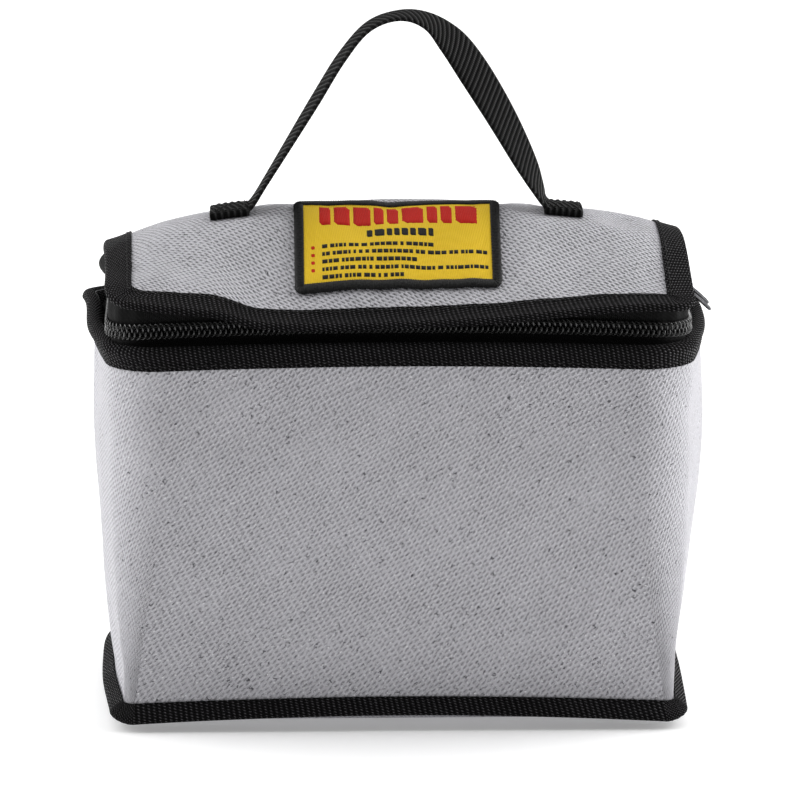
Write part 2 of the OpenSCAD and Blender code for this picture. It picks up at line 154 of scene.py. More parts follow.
def ring(out, z):
    """The wall's plan at height z, moved outwards by out, with the barrel and bow of a soft bag."""
    s = swell(z)
    a = CORNER_HALF_W - SIDE_NARROWING * (1 - s) + out
    b = TOP_HALF_D - BASE_NARROWING * (1 - s) + out
    x, y = rounded(a, b, max(BASE_R + (TOP_R - BASE_R) * s + out, 0.4))
    rise = math.sin(math.pi * min(max(z / RIM_Z, 0), 1))
    at_base, at_rim = (np.where(x < 0, left, right) for left, right in zip(LEFT_BULGES, RIGHT_BULGES))
    lean = min(max((z - RIM_Z + FLARE_BELOW) / FLARE_RISE, 0), 1)
    flare = np.where(x < 0, LEFT_FLARE, RIGHT_FLARE) * lean
    bulge = at_base + (at_rim - at_base) * s + BARREL * rise + flare
    back = y / b
    skewed = back - np.where(x < 0, LEFT_SKEW, RIGHT_SKEW) * (1 - back ** 2)
    x = x + np.sign(x) * bulge * (1 - np.abs(skewed) ** np.where(x < 0, LEFT_FULL, RIGHT_FULL))
    x = x - np.where(x < 0, BACK_CORNER_OUT * s * np.exp(-((back - 0.7) / 0.22) ** 2), 0)
    y = y + FRONT_BARREL * rise * np.clip(1 - (x / a) ** 2, 0, 1) * DY
    lift = BACK_CORNER_LIFT * s * np.clip((z / RIM_Z - 0.7) / 0.3, 0, 1)
    lift = lift * np.exp(-((y / b - 0.5) / 0.3) ** 2) * np.clip((-x - 60) / 40, 0, 1)
    return np.stack([x, y, z + BOW * (1 - (x / TOP_HALF_W) ** 2) + lift], axis=1)


def ripple(a, b, seed, waves=5):
    """Smooth wandering between about -1 and 1 over two coordinates in millimetres."""
    rng = np.random.default_rng(seed)
    total = 0.0
    for _ in range(waves):
        angle, phase = rng.uniform(0, TAU, 2)
        length = rng.uniform(28, 80)
        total = total + np.sin(TAU * (a * math.cos(angle) + b * math.sin(angle)) / length + phase)
    return total / math.sqrt(waves) / 1.4


ARC = np.concatenate([[0], np.cumsum(np.linalg.norm(np.diff(ring(0, RIM_Z)[:, :2], axis=0), axis=1))])
CORNER = (np.abs(DX) > 1e-6) & (np.abs(DY) > 1e-6)


def near_corner(width=9.0):
    """1 in the middle of each corner, falling to 0 a little way along the straight sides."""
    middles = ARC[CORNER].reshape(4, TURN - 1)[:, TURN // 2 - 1]
    away = np.min(np.abs(ARC[:, None] - middles[None, :]), axis=1)
    return np.exp(-(away / width) ** 2)


NEAR_CORNER = near_corner()


# ---------------------------------------------------------------- mesh making
def corner_places(mesh, cloth, closing):
    """The cloth's coordinates at each face's corners: where the cloth closes on itself they run on."""
    corner = np.zeros(len(mesh.loops), np.int32)
    mesh.loops.foreach_get("vertex_index", corner)
    places = np.zeros((len(corner), 3), np.float32)
    places[:, :2] = np.asarray(cloth)[corner, :2]
    for axis, period in enumerate(closing):
        if not period:
            continue
        for polygon in mesh.polygons:
            part = places[polygon.loop_start:polygon.loop_start + polygon.loop_total, axis]
            if len(part) == 4 and np.ptp(part) > period / 2:
                part[part < period / 2] += period
    return places


def plain_object(name, points, faces):
    """A bare mesh object from points in millimetres."""
    mesh = bpy.data.meshes.new(name)
    mesh.from_pydata((np.asarray(points) * MM).tolist(), [], [list(map(int, f)) for f in faces])
    mesh.validate()
    obj = bpy.data.objects.new(name, mesh)
    bpy.context.scene.collection.objects.link(obj)
    return obj


def make(name, points, faces, body, material, cloth=None, closing=(0, 0), node=None):
    """A piece with a material and the cloth's own coordinates, which rides on body and replaces node.

    closing is how far round the cloth closes on itself in each of its directions, or 0."""
    obj = plain_object(name, points, faces)
    mesh = obj.data
    mesh.materials.append(material)
    if cloth is not None:
        attribute = mesh.attributes.new("cloth", "FLOAT_VECTOR", "CORNER")
        attribute.data.foreach_set("vector", corner_places(mesh, cloth, closing).ravel())
    mesh.shade_smooth()
    if body:
        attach(obj, body)
    if node:
        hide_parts(node)
    return obj


def grid_faces(rows, columns, wrap_rows=False, wrap_columns=False):
    """Quads over a grid of points stored row by row."""
    r = np.arange(rows if wrap_rows else rows - 1)
    c = np.arange(columns if wrap_columns else columns - 1)
    r0, c0 = np.meshgrid(r, c, indexing="ij")
    r1, c1 = (r0 + 1) % rows, (c0 + 1) % columns
    quads = np.stack([r0 * columns + c0, r1 * columns + c0, r1 * columns + c1, r0 * columns + c1], axis=-1)
    return quads.reshape(-1, 4).tolist()


def end_faces(rows, columns):
    """Faces over the first and the last column of a grid whose rows wrap round."""
    return [[i * columns for i in range(rows - 1, -1, -1)], [i * columns + columns - 1 for i in range(rows)]]


def tube_faces(rows, sides):
    """Faces of a closed tube, stored ring by ring."""
    last = (rows - 1) * sides
    ends = [list(range(sides)), [last + i for i in range(sides - 1, -1, -1)]]
    return grid_faces(rows, sides, wrap_columns=True) + ends


def on_cloth(along, across):
    """The cloth's coordinates over a grid, whose columns run along it and whose rows lie across it."""
    return np.stack(np.broadcast_arrays(along[None, :], across[:, None]), axis=-1).reshape(-1, 2)


def lengths(points):
    """Distance run along a line of points, starting at 0."""
    steps = np.linalg.norm(np.diff(points, axis=0), axis=1)
    return np.concatenate([[0], np.cumsum(steps)])


def placed(line, run, at):
    """Points of a line at distances along it; run is the distance of each of its own points."""
    return np.stack([np.interp(at, run, line[:, i]) for i in range(3)], axis=-1)


def band(name, rings, body, material, along=None, closed=True, node=None):
    """A closed section swept round the ring: rings are in anticlockwise order round the section."""
    grid = np.stack(rings)
    rows, columns = grid.shape[:2]
    across = lengths(grid[:, columns // 3])
    along = ARC[:columns] if along is None else along
    faces = grid_faces(rows, columns, wrap_rows=True, wrap_columns=closed)
    if not closed:
        faces += end_faces(rows, columns)
    round_ring = along[-1] + np.linalg.norm(grid[0, -1] - grid[0, 0]) if closed else 0
    round_section = across[-1] + np.linalg.norm(grid[-1, columns // 3] - grid[0, columns // 3])
    return make(name, grid.reshape(-1, 3), faces, body, material, on_cloth(along, across),
                (round_ring, round_section), node)


def thick_line(line, thickness, round_end=3):
    """Outline of a 2D line with thickness, its ends rounded, in anticlockwise order."""
    line = np.array(line, float)
    d = np.gradient(line, axis=0)
    d /= np.linalg.norm(d, axis=1)[:, None]
    n = np.stack([d[:, 1], -d[:, 0]], axis=1) * thickness / 2
    caps = []
    for point, direction in ((line[-1], d[-1]), (line[0], -d[0])):
        side = np.array([direction[1], -direction[0]])
        turn = [math.pi * (i + 1) / (round_end + 1) for i in range(round_end)]
        caps.append([point + thickness / 2 * (side * math.cos(q) + direction * math.sin(q)) for q in turn])
    return np.concatenate([line + n, caps[0], (line - n)[::-1], caps[1]])


def smooth_line(points, steps):
    """A Catmull-Rom curve through the points, with this many steps between each two."""
    p = np.array(points, float)
    p = np.concatenate([[2 * p[0] - p[1]], p, [2 * p[-1] - p[-2]]])
    out = []
    for i in range(1, len(p) - 2):
        a, b, c, d = p[i - 1], p[i], p[i + 1], p[i + 2]
        for t in np.arange(steps) / steps:
            out.append(0.5 * (2 * b + (c - a) * t + (2 * a - 5 * b + 4 * c - d) * t ** 2
                              + (3 * b - a - 3 * c + d) * t ** 3))
    out.append(p[-2])
    return np.array(out)


def tube(points, radius, sides):
    """Points and faces of a round tube along a line."""
    p = np.asarray(points, float)
    d = np.gradient(p, axis=0)
    d /= np.linalg.norm(d, axis=1)[:, None]
    side = np.cross(d[0], [0.31, 0.17, 0.93])
    sides_of = []
    for direction in d:
        side = side - direction * side.dot(direction)
        side = side / np.linalg.norm(side)
        sides_of.append(side)
    u = np.array(sides_of)
    v = np.cross(d, u)
    q = TAU * np.arange(sides) / sides
    cosine, sine = np.cos(q)[None, :, None], np.sin(q)[None, :, None]
    rings = p[:, None] + radius * (u[:, None] * cosine + v[:, None] * sine)
    return rings.reshape(-1, 3), tube_faces(len(p), sides)


def make_tube(name, points, radius, sides, body, material, node=None):
    """A piece of round wire or thread."""
    around, faces = tube(points, radius, sides)
    make(name, around, faces, body, material, np.zeros((len(around), 2)), node=node)


def slab(bottom, top, places):
    """Points, faces and cloth coordinates of a thin slab between two grids of points."""
    rows, columns = bottom.shape[:2]
    n = rows * columns
    grid = grid_faces(rows, columns)
    faces = grid + [[i + n for i in f[::-1]] for f in grid]
    loop = (list(range(columns)) + [j * columns + columns - 1 for j in range(1, rows)]
            + [(rows - 1) * columns + i for i in range(columns - 2, -1, -1)]
            + [j * columns for j in range(rows - 2, 0, -1)])
    faces += [[a, b, b + n, a + n] for a, b in zip(loop, loop[1:] + loop[:1])]
    cloth = places.reshape(-1, 2)
    return np.concatenate([bottom.reshape(-1, 3), top.reshape(-1, 3)]), faces, np.concatenate([cloth, cloth])


class Heap:
    """Many small shapes that become one mesh."""

    def __init__(self):
        self.points, self.faces, self.cloth, self.count = [], [], [], 0

    def add(self, points, faces, cloth=None):
        self.points.append(np.asarray(points))
        self.cloth.append(np.zeros((len(points), 2)) if cloth is None else np.asarray(cloth))
        self.faces += [[i + self.count for i in f] for f in faces]
        self.count += len(points)

    def make(self, name, body, slot, material, node=None):
        make(name, np.concatenate(self.points), self.faces, body, material, np.concatenate(self.cloth),
             node=node)


def stitches(heap, path, up, pitch=3.0, length=2.1, radius=0.26):
    """A row of short raised threads along a path; up is the direction out of the cloth at each point."""
    run = lengths(path)
    around, rings = 6, (0.0, 0.12, 0.35, 0.65, 0.88, 1.0)
    swelling = [0.35, 0.8, 1.0, 1.0, 0.8, 0.35]
    for start in np.arange(pitch / 2, run[-1] - length, pitch):
        a, b = placed(path, run, start), placed(path, run, start + length)
        normal = placed(up, run, start + length / 2)
        direction = (b - a) / np.linalg.norm(b - a)
        normal = normal - direction * normal.dot(direction)
        normal /= np.linalg.norm(normal)
        side = np.cross(direction, normal)
        points = []
        for f, grow in zip(rings, swelling):
            centre = a + (b - a) * f + normal * radius * (0.9 * math.sin(math.pi * f) - 0.55)
            for i in range(around):
                q = TAU * i / around
                points.append(centre + radius * grow * (side * math.cos(q) + normal * math.sin(q)))
        heap.add(points, tube_faces(len(rings), around))


# ---------------------------------------------------------------- cloth simulation
def simulate(grid, wrap, pinned, pressure, slack, frames, cap):
    """How far each point of a grid of cloth moves when it is held at its pinned points.

    The cloth is larger than the grid by slack, and no point moves further than cap."""
    rows, columns = grid.shape[:2]
    obj = plain_object("cloth_trial", grid.reshape(-1, 3), grid_faces(rows, columns, wrap_columns=wrap))
    group = obj.vertex_groups.new(name="pin")
    group.add([int(i) for i in np.flatnonzero(pinned.ravel())], 1.0, "REPLACE")
    cloth = obj.modifiers.new("cloth", "CLOTH")
    settings = cloth.settings
    settings.quality = 5
    settings.mass = 0.4
    settings.tension_stiffness = settings.compression_stiffness = 20
    settings.shear_stiffness = 12
    settings.bending_stiffness = 6
    settings.vertex_group_mass = "pin"
    settings.shrink_min = -slack
    settings.use_pressure = True
    settings.uniform_pressure_force = pressure
    settings.effector_weights.gravity = 0
    cloth.collision_settings.use_collision = False
    cloth.point_cache.frame_end = frames
    scene = bpy.context.scene
    for step in range(1, frames + 1):
        scene.frame_set(step)
    held = obj.evaluated_get(bpy.context.evaluated_depsgraph_get()).to_mesh()
    moved = np.array([v.co for v in held.vertices]) / MM
    scene.frame_set(1)
    mesh = obj.data
    bpy.data.objects.remove(obj)
    bpy.data.meshes.remove(mesh)
    change = moved.reshape(grid.shape) - grid
    size = np.linalg.norm(change, axis=-1, keepdims=True)
    return change * np.minimum(1, cap / np.maximum(size, 1e-9))


def softened(field, wrap, times=2):
    """The field after a little averaging with its neighbours, so that it has no sharp facets."""
    for _ in range(times):
        across = field.copy()
        if wrap:
            across = (np.roll(field, 1, 1) + np.roll(field, -1, 1)) / 2
        else:
            across[:, 1:-1] = (field[:, 2:] + field[:, :-2]) / 2
        down = field.copy()
        down[1:-1] = (field[2:] + field[:-2]) / 2
        field = 0.5 * field + 0.25 * across + 0.25 * down
    return field


# ---------------------------------------------------------------- materials
class Shader:
    """Short ways to add nodes to a material and join them."""

    def __init__(self, name, roughness, specular=0.5, sheen=0.0, metallic=0.0, coat=0.0):
        self.material = bpy.data.materials.new(name)
        self.material.use_nodes = True
        self.tree = self.material.node_tree
        self.main = self.tree.nodes["Principled BSDF"]
        self.main.inputs["Roughness"].default_value = roughness
        self.main.inputs["Specular IOR Level"].default_value = specular
        self.main.inputs["Sheen Weight"].default_value = sheen
        self.main.inputs["Sheen Roughness"].default_value = 0.4
        self.main.inputs["Metallic"].default_value = metallic
        self.main.inputs["Coat Weight"].default_value = coat
        self.place = self.add("ShaderNodeAttribute", attribute_name="cloth").outputs["Vector"]
        self.coords = self.add("ShaderNodeTexCoord").outputs["Object"]

    def add(self, kind, inputs=None, **props):
        node = self.tree.nodes.new(kind)
        for key, value in props.items():
            setattr(node, key, value)
        for key, value in (inputs or {}).items():
            if isinstance(value, bpy.types.NodeSocket):
                self.tree.links.new(value, node.inputs[key])
            else:
                node.inputs[key].default_value = value
        return node

    def math(self, operation, a, b=0.0, c=0.0):
        return self.add("ShaderNodeMath", {0: a, 1: b, 2: c}, operation=operation).outputs[0]

    def wave(self, vector, per_mm):
        """A cosine over the cloth: per_mm is its cycles in each direction."""
        dot = self.add("ShaderNodeVectorMath", {0: vector, 1: (*per_mm, 0)}, operation="DOT_PRODUCT")
        return self.math("COSINE", self.math("MULTIPLY_ADD", dot.outputs["Value"], TAU, 0.0))

    def noise(self, vector, scale, detail=2.0, roughness=0.5):
        inputs = {"Vector": vector, "Scale": scale, "Detail": detail, "Roughness": roughness}
        return self.add("ShaderNodeTexNoise", inputs).outputs["Fac"]

    def shifted(self, vector, scale, amount):
        """The vector, pushed about by noise, so that threads wander."""
        noise = self.add("ShaderNodeTexNoise", {"Vector": vector, "Scale": scale, "Detail": 1.0})
        inputs = {0: noise.outputs["Color"], 1: (0.5, 0.5, 0.5)}
        centred = self.add("ShaderNodeVectorMath", inputs, operation="SUBTRACT")
        inputs = {0: centred.outputs[0], 1: (amount, amount, 0), 2: vector}
        return self.add("ShaderNodeVectorMath", inputs, operation="MULTIPLY_ADD").outputs[0]

    def ramp(self, value, *stops):
        """A colour ramp: stops are (position, grey or colour)."""
        node = self.add("ShaderNodeValToRGB", {0: value})
        elements = node.color_ramp.elements
        while len(elements) < len(stops):
            elements.new(0.5)
        for element, (position, colour) in zip(elements, stops):
            element.position = position
            colour = (colour,) * 3 if isinstance(colour, (int, float)) else colour
            element.color = (*colour, 1)
        return node.outputs[0]

    def mix(self, factor, a, b):
        node = self.add("ShaderNodeMix", {"Factor": factor}, data_type="RGBA", blend_type="MIX")
        for socket, value in (("A", a), ("B", b)):
            target = [i for i in node.inputs if i.name == socket and i.type == "RGBA"][0]
            if isinstance(value, bpy.types.NodeSocket):
                self.tree.links.new(value, target)
            else:
                target.default_value = (*value, 1)
        return [o for o in node.outputs if o.type == "RGBA"][0]

    def finish(self, colour, height=None, depth=0.2, rough=None):
        if isinstance(colour, bpy.types.NodeSocket):
            self.tree.links.new(colour, self.main.inputs["Base Color"])
        else:
            self.main.inputs["Base Color"].default_value = (*colour, 1)
        if rough is not None:
            self.tree.links.new(rough, self.main.inputs["Roughness"])
        if height is not None:
            bump = self.add("ShaderNodeBump", {"Height": height, "Strength": 1.0, "Distance": depth * MM})
            self.tree.links.new(bump.outputs[0], self.main.inputs["Normal"])
        return self.material


CLOTH_GREY = np.array([0.375, 0.37, 0.395])


def glass_cloth(name, turned, relief_and_painted_shading):
    """Grey coated glass-fibre cloth: a slanting lattice of small bumps with pits between them; its colour is
    painted darker in the pits and lighter on the bump tops, as painted shade and painted light.
    """
    s = Shader(name, roughness=0.5, specular=0.3)
    place = s.shifted(s.place, 0.35, 0.55)
    place = s.shifted(place, 1.7, 0.16)
    first, second = (0.686, -0.338), (0.285, -0.555)
    if turned:
        first, second = (-first[1], first[0]), (-second[1], second[0])
    a = s.wave(place, first)
    b = s.wave(place, second)
    lattice = s.math("MULTIPLY_ADD", s.math("ADD", a, b), 0.25, 0.5)
    grain = s.noise(s.place, 2.2, 2.0, 0.6)
    patches = s.noise(s.place, 0.055, 2.0)
    height = s.math("MULTIPLY_ADD", grain, 0.9, lattice)
    height = s.math("MULTIPLY_ADD", patches, 0.35, height)
    # the lid's turned copy of the cloth is painted 4% darker: painted shade
    middle = CLOTH_GREY * (1.0 - 0.04 * turned)
    # the colour follows the height: painted shade in the pits between the bumps and painted light on their
    # tops
    painted_shade_steps = ((0.42, max(1 - 0.62 * relief_and_painted_shading, 0.12)), (0.75, 1 - 0.2 * relief_and_painted_shading),
              (1.05, 1 + 0.12 * relief_and_painted_shading), (1.38, 1 + 0.5 * relief_and_painted_shading))
    pits = s.ramp(height, *[(place, tuple(middle * shade)) for place, shade in painted_shade_steps])
    speck = s.ramp(s.noise(s.place, 1.25, 0.0), (0.71, 0.0), (0.77, 1.0))
    # small dents, sunk into the height and painted nearly black: painted shade in the dents
    shaded_dent = s.ramp(s.noise(s.shifted(s.place, 0.9, 3.0), 0.95, 0.0), (0.745, 0.0), (0.79, 1.0))
    colour = s.mix(speck, pits, (0.72, 0.72, 0.74))
    colour = s.mix(shaded_dent, colour, (0.09, 0.09, 0.10))
    height = s.math("MULTIPLY_ADD", shaded_dent, -0.8, height)
    rough = s.math("MULTIPLY_ADD", lattice, -0.16, 0.6)
    return s.finish(colour, height, 0.55 * relief_and_painted_shading, rough)


def black_tape(name):
    """Black binding tape: a tight twill, in which each crossing of the yarns shows as a small dash."""
    s = Shader(name, roughness=0.36, specular=0.12)
    place = s.shifted(s.place, 0.9, 0.22)
    dash = s.wave(place, (0.60, 0.10))
    row = s.wave(place, (0.30, 0.92))
    height = s.math("ADD", dash, row)
    height = s.math("MULTIPLY_ADD", s.noise(s.place, 2.4, 2.0), 1.0, height)
    level = s.math("MULTIPLY_ADD", height, 0.25, 0.35)
    level = s.math("MULTIPLY_ADD", s.noise(s.place, 0.05, 2.0), 0.18, level)
    # the colour is lighter on the yarn tops: painted glints, standing in for the tape's shine under the side
    # lights; the broad noise patches are random tone
    colour = s.ramp(level, (0.3, (0.0006, 0.0006, 0.0007)), (0.64, (0.0030, 0.0028, 0.0032)),
                    (0.88, (0.026, 0.024, 0.027)), (1.0, (0.085, 0.08, 0.087)))
    rough = s.ramp(level, (0.6, 0.95), (0.9, 0.28))
    return s.finish(colour, height, 0.5, rough)


def knitted_tape(name):
    """Black zipper tape: fine upright ribs."""
    s = Shader(name, roughness=0.65, specular=0.1)
    rib = s.wave(s.shifted(s.place, 0.7, 0.2), (1.5, 0.0))
    knit = s.wave(s.place, (0.35, 0.9))
    height = s.math("MULTIPLY_ADD", knit, 0.5, rib)
    level = s.math("MULTIPLY_ADD", height, 0.33, 0.5)
    return s.finish(s.ramp(level, (0.0, 0.0015), (1.0, 0.009)), height, 0.12)


def webbing_cloth(name):
    """Black webbing: slanting ribs of twisted yarn."""
    s = Shader(name, roughness=0.6, specular=0.15)
    place = s.shifted(s.place, 0.5, 0.22)
    rib = s.wave(place, (0.44, 0.20))
    yarn = s.wave(place, (0.44, -1.15))
    height = s.math("MULTIPLY_ADD", yarn, 0.24, rib)
    height = s.math("MULTIPLY_ADD", s.noise(s.place, 3.2, 1.0), 0.4, height)
    level = s.math("MULTIPLY_ADD", height, 0.4, 0.4)
    rough = s.ramp(level, (0.5, 0.95), (0.95, 0.35))
    return s.finish(s.ramp(level, (0.1, 0.001), (0.6, 0.004), (1.0, 0.022)), height, 0.5, rough)


def label_cloth(name, dark, light):
    """Densely woven thread in one colour, with fine lines across it."""
    s = Shader(name, roughness=0.55, specular=0.15)
    line = s.wave(s.place, (0.0, 2.2))
    across = s.wave(s.shifted(s.place, 1.0, 0.3), (1.6, 0.2))
    height = s.math("MULTIPLY_ADD", across, 0.5, line)
    level = s.math("MULTIPLY_ADD", height, 0.3, 0.5)
    return s.finish(s.ramp(level, (0.0, dark), (0.8, light)), height, 0.1)


def thread_material(name, dark, light):
    """Twisted thread."""
    s = Shader(name, roughness=0.5, specular=0.15)
    level = s.noise(s.coords, 1500.0, 2.0)
    return s.finish(s.ramp(level, (0.3, dark), (0.7, light)), level, 0.08)


def nylon(name):
    """Black nylon filament with a soft shine."""
    s = Shader(name, roughness=0.28, specular=0.6, coat=0.5)
    grain = s.noise(s.coords, 900.0, 2.0)
    rough = s.math("MULTIPLY_ADD", grain, 0.16, 0.2)
    return s.finish(s.ramp(grain, (0.3, 0.006), (0.7, 0.02)), grain, 0.02, rough)


def gunmetal(name):
    """Dark plated zinc, a little worn."""
    s = Shader(name, roughness=0.3, metallic=1.0)
    grain = s.noise(s.coords, 420.0, 4.0, 0.65)
    wear = s.ramp(grain, (0.35, (0.05, 0.05, 0.053)), (0.6, (0.10, 0.10, 0.105)), (0.75, (0.22, 0.22, 0.22)))
    rough = s.math("MULTIPLY_ADD", grain, 0.3, 0.16)
    return s.finish(wear, grain, 0.03, rough)


def foam_material(name):
    """Off-white closed-cell foam."""
    s = Shader(name, roughness=0.8, specular=0.2)
    cells = s.add("ShaderNodeTexVoronoi", {"Vector": s.coords, "Scale": 1400.0}).outputs["Distance"]
    return s.finish(s.ramp(cells, (0.1, (0.62, 0.6, 0.55)), (0.7, (0.78, 0.76, 0.7))), cells, 0.15)


def lining_cloth(name):
    """Plain grey woven lining."""
    s = Shader(name, roughness=0.6, specular=0.3, sheen=0.2)
    place = s.shifted(s.place, 0.12, 0.6)
    height = s.math("ADD", s.wave(place, (0.8, 0.0)), s.wave(place, (0.0, 0.8)))
    level = s.math("MULTIPLY_ADD", height, 0.25, 0.5)
    return s.finish(s.ramp(level, (0.0, (0.2, 0.2, 0.21)), (1.0, (0.34, 0.34, 0.355))), height, 0.1)


CLOTH = glass_cloth("glass_cloth", turned=False, relief_and_painted_shading=0.8)
# the lid's copy of the same cloth: a little darker, with twice the relief and twice the painted shade in the
# pits and painted light on the tops, for the grazing light on the lid
LID_CLOTH = glass_cloth("glass_cloth_turned", turned=True, relief_and_painted_shading=1.6)
TAPE_BLACK = black_tape("binding_tape")
KNIT = knitted_tape("zipper_tape")
WEBBING = webbing_cloth("webbing")
YELLOW = label_cloth("label_yellow", (0.80, 0.50, 0.016), (1.0, 0.68, 0.03))
RED = label_cloth("label_red", (0.42, 0.008, 0.003), (0.72, 0.016, 0.006))
INK = label_cloth("label_black", (0.004, 0.004, 0.004), (0.02, 0.02, 0.02))
THREAD = thread_material("black_thread", 0.002, 0.02)
NYLON = nylon("coil_nylon")
METAL = gunmetal("gunmetal")
FOAM_M = foam_material("foam")
LINING_M = lining_cloth("lining_cloth")

# ---------------------------------------------------------------- walls
WALL_LOW, WALL_HIGH = SEAM_Z + 0.6, RIM_Z - TAPE - GAP
BOARD_LOW, BOARD_HIGH = 12.0, 136.0   # the foam boards' lower and upper edges
LINING_LOW = 6.0                      # and the lining's lower edge
ROW_STEP = 2.6
WALL_ROWS = np.concatenate([[WALL_LOW], np.arange(BOARD_LOW, BOARD_HIGH + 2, ROW_STEP), [WALL_HIGH]])
LID_ROUND = 1.12                      # the way over the crown, as a share of the lid's depth
SLACK_SHARE = 0.4                     # how much of the simulated slackness the lined walls keep


def wall_change():
    """Simulated slackness of the walls, held along the rim's tape and along the base seam.

    They settle about 0.7 mm further out on average."""
    grid = np.stack([ring(0, z) for z in WALL_ROWS])[:, ::2]
    held = (WALL_ROWS < BOARD_LOW + 0.5) | (WALL_ROWS > RIM_Z - TAPE_W - 0.5)
    pinned = np.repeat(held[:, None], grid.shape[1], axis=1)
    moved = simulate(grid, True, pinned, pressure=1.2, slack=0.006, frames=18, cap=3.0)
    change = SLACK_SHARE * softened(moved, True)
    near = change + np.roll(change, -1, 1)
    far = np.roll(change, 1, 1) + np.roll(change, -2, 1)
    full = np.zeros((len(WALL_ROWS), RING, 3))
    full[:, ::2] = change
    full[:, 1::2] = (9 * near - far) / 16
    return full


WALL_CHANGE = wall_change()


def wall(out, z):
    """A ring of the wall at height z, with the cloth's own slackness and faint dents."""
    at = np.interp(z, WALL_ROWS, np.arange(len(WALL_ROWS)))
    low = min(int(at), len(WALL_ROWS) - 2)
    change = WALL_CHANGE[low] * (low + 1 - at) + WALL_CHANGE[low + 1] * (at - low)
    free = math.sin(math.pi * min(max((z - SEAM_Z) / (RIM_Z - TAPE_W - SEAM_Z), 0), 1)) ** 0.5
    dents = 0.35 * free * ripple(ARC, z, 3)
    points = ring(out, z) + change
    points[:, 0] += DX * dents
    points[:, 1] += DY * dents
    return points


def wall_layer(name, node, offsets, low, high, look, first=0, last=RING - 1, step=1, foot=()):
    """A layer of the wall between two offsets, inner and outer; foot is rings under its lower edge."""
    inside = [z for z in WALL_ROWS[::step] if low + 0.5 < z < high - 0.5]
    rows = [low] + inside + [high]
    inner, outer = offsets
    rings = list(foot) + [wall(outer, z) for z in rows] + [wall(inner, z) for z in rows[::-1]]
    rings = [r[first:last + 1] for r in rings]
    whole = first == 0 and last == RING - 1
    return band(name, rings, "bag_body", look, ARC[first:last + 1], closed=whole, node=node)


def make_walls():
    lip = [ring(LIP_OUT - 1, SEAM_Z - LIP_DOWN + 0.5), ring(LIP_OUT, SEAM_Z - LIP_DOWN + 1.1)]
    outer = wall_layer("outer_wall_cloth", "outer_wall", (-FABRIC, 0), WALL_LOW, WALL_HIGH,
                       CLOTH, foot=lip)
    lining = wall_layer("wall_lining_cloth", "wall_lining", (LINING_IN, LINING_OUT), LINING_LOW, WALL_HIGH,
                        LINING_M, step=2)
    first = 0
    for side, steps in (("left", SHORT), ("front", LONG), ("right", SHORT), ("back", LONG)):
        board = wall_layer(side + "_foam", side + "_foam_board", (FOAM_IN, FOAM_OUT), BOARD_LOW, BOARD_HIGH,
                           FOAM_M, first, first + steps, step=2)
        first += steps + TURN


make_walls()


# ---------------------------------------------------------------- base
def base_sheet(name, node, z, thickness, rings_at, look, soft=0.0):
    """A sheet over the plan of the base: rings_at are (inset, height above z) from the middle outwards."""
    shrinks = (0.02, 0.25, 0.5, 0.75)
    inner = rings_at[0][0]
    top, bottom = [], []
    for height, out in ((0.0, bottom), (thickness, top)):
        for shrink in shrinks:
            flat = ring(-inner, 0)
            flat[:, :2] *= shrink
            flat[:, 2] = z + height + rings_at[0][1]
            out.append(flat)
        for inset, rise in rings_at:
            edge = ring(-inset, 0)
            edge[:, 2] = z + height + rise
            out.append(edge)
        for points in out:
            edge_room = np.clip((TOP_HALF_W - 15 - np.abs(points[:, 0])) / 15, 0, 1)
            points[:, 2] += soft * np.abs(ripple(points[:, 0], points[:, 1], 11)) * edge_room
    grid = np.stack(bottom + top[::-1])
    rows = len(grid)
    points = grid.reshape(-1, 3)
    faces = grid_faces(rows, RING, wrap_columns=True)
    faces.append(list(range(RING - 1, -1, -1)))
    faces.append([(rows - 1) * RING + i for i in range(RING)])
    return make(name, points, faces, "bag_body", look, points[:, :2], node=node)


def make_base():
    slope = [(12, 0.0), (9, 1.0), (5, 3.4), (2, 5.6), (1.2, 6.4)]
    cloth = base_sheet("base_cloth", "base_fabric", 0.05, FABRIC, slope, CLOTH)
    slope = [(10, 0.0), (8, 0.3), (6, 1.6)]
    lining = base_sheet("base_lining_cloth", "base_lining", FABRIC + FOAM + 3 * GAP, LINING, slope,
                        LINING_M, soft=0.5)
    flat = [(15, 0.0), (14, 0.0)]
    foam = base_sheet("base_foam", "base_foam_board", FABRIC + 2 * GAP, FOAM, flat, FOAM_M)


make_base()


# ---------------------------------------------------------------- bound edges of the body
GATHER = 3.4                          # from one small gather of the tape to the next


def pucker(amount):
    """Small gathers of the tape where it turns a corner, and slight waves along it."""
    return NEAR_CORNER * amount * np.sin(TAU * ARC / GATHER) + 0.16 * ripple(ARC, 0 * ARC, 21)


def pushed(points, amount):
    points = points.copy()
    points[:, 0] += DX * amount
    points[:, 1] += DY * amount
    return points


SIDEWAYS = np.abs(DX) ** 1.5          # 1 along the sides, 0 along the front and the back


def lip_rise(points, out):
    """How far the bound seam at the base stands above a plain slanting one."""
    bow = LIP_BOW * np.clip(1 - (points[:, 0] / TOP_HALF_W) ** 2, 0, 1) * (1 - SIDEWAYS)
    return (bow + LIP_LIFT * SIDEWAYS) * np.clip(out / LIP_OUT, -0.3, 1)


def taped(name, line, gathers, node, at_base=False):
    """Binding tape folded over an edge: line is the fold's section, as (out, z)."""
    rings = []
    for out, z in thick_line(line, TAPE):
        points = pushed(ring(out, z), pucker(gathers))
        if at_base:
            points[:, 2] += lip_rise(points, out)
        rings.append(points)
    band(name, rings, "bag_body", TAPE_BLACK, node=node)


def nose(centre, radius, start, end, steps):
    """Points on an arc, angles in degrees."""
    turns = [math.radians(start + (end - start) * i / steps) for i in range(steps + 1)]
    return [(centre[0] + radius * math.cos(q), centre[1] + radius * math.sin(q)) for q in turns]


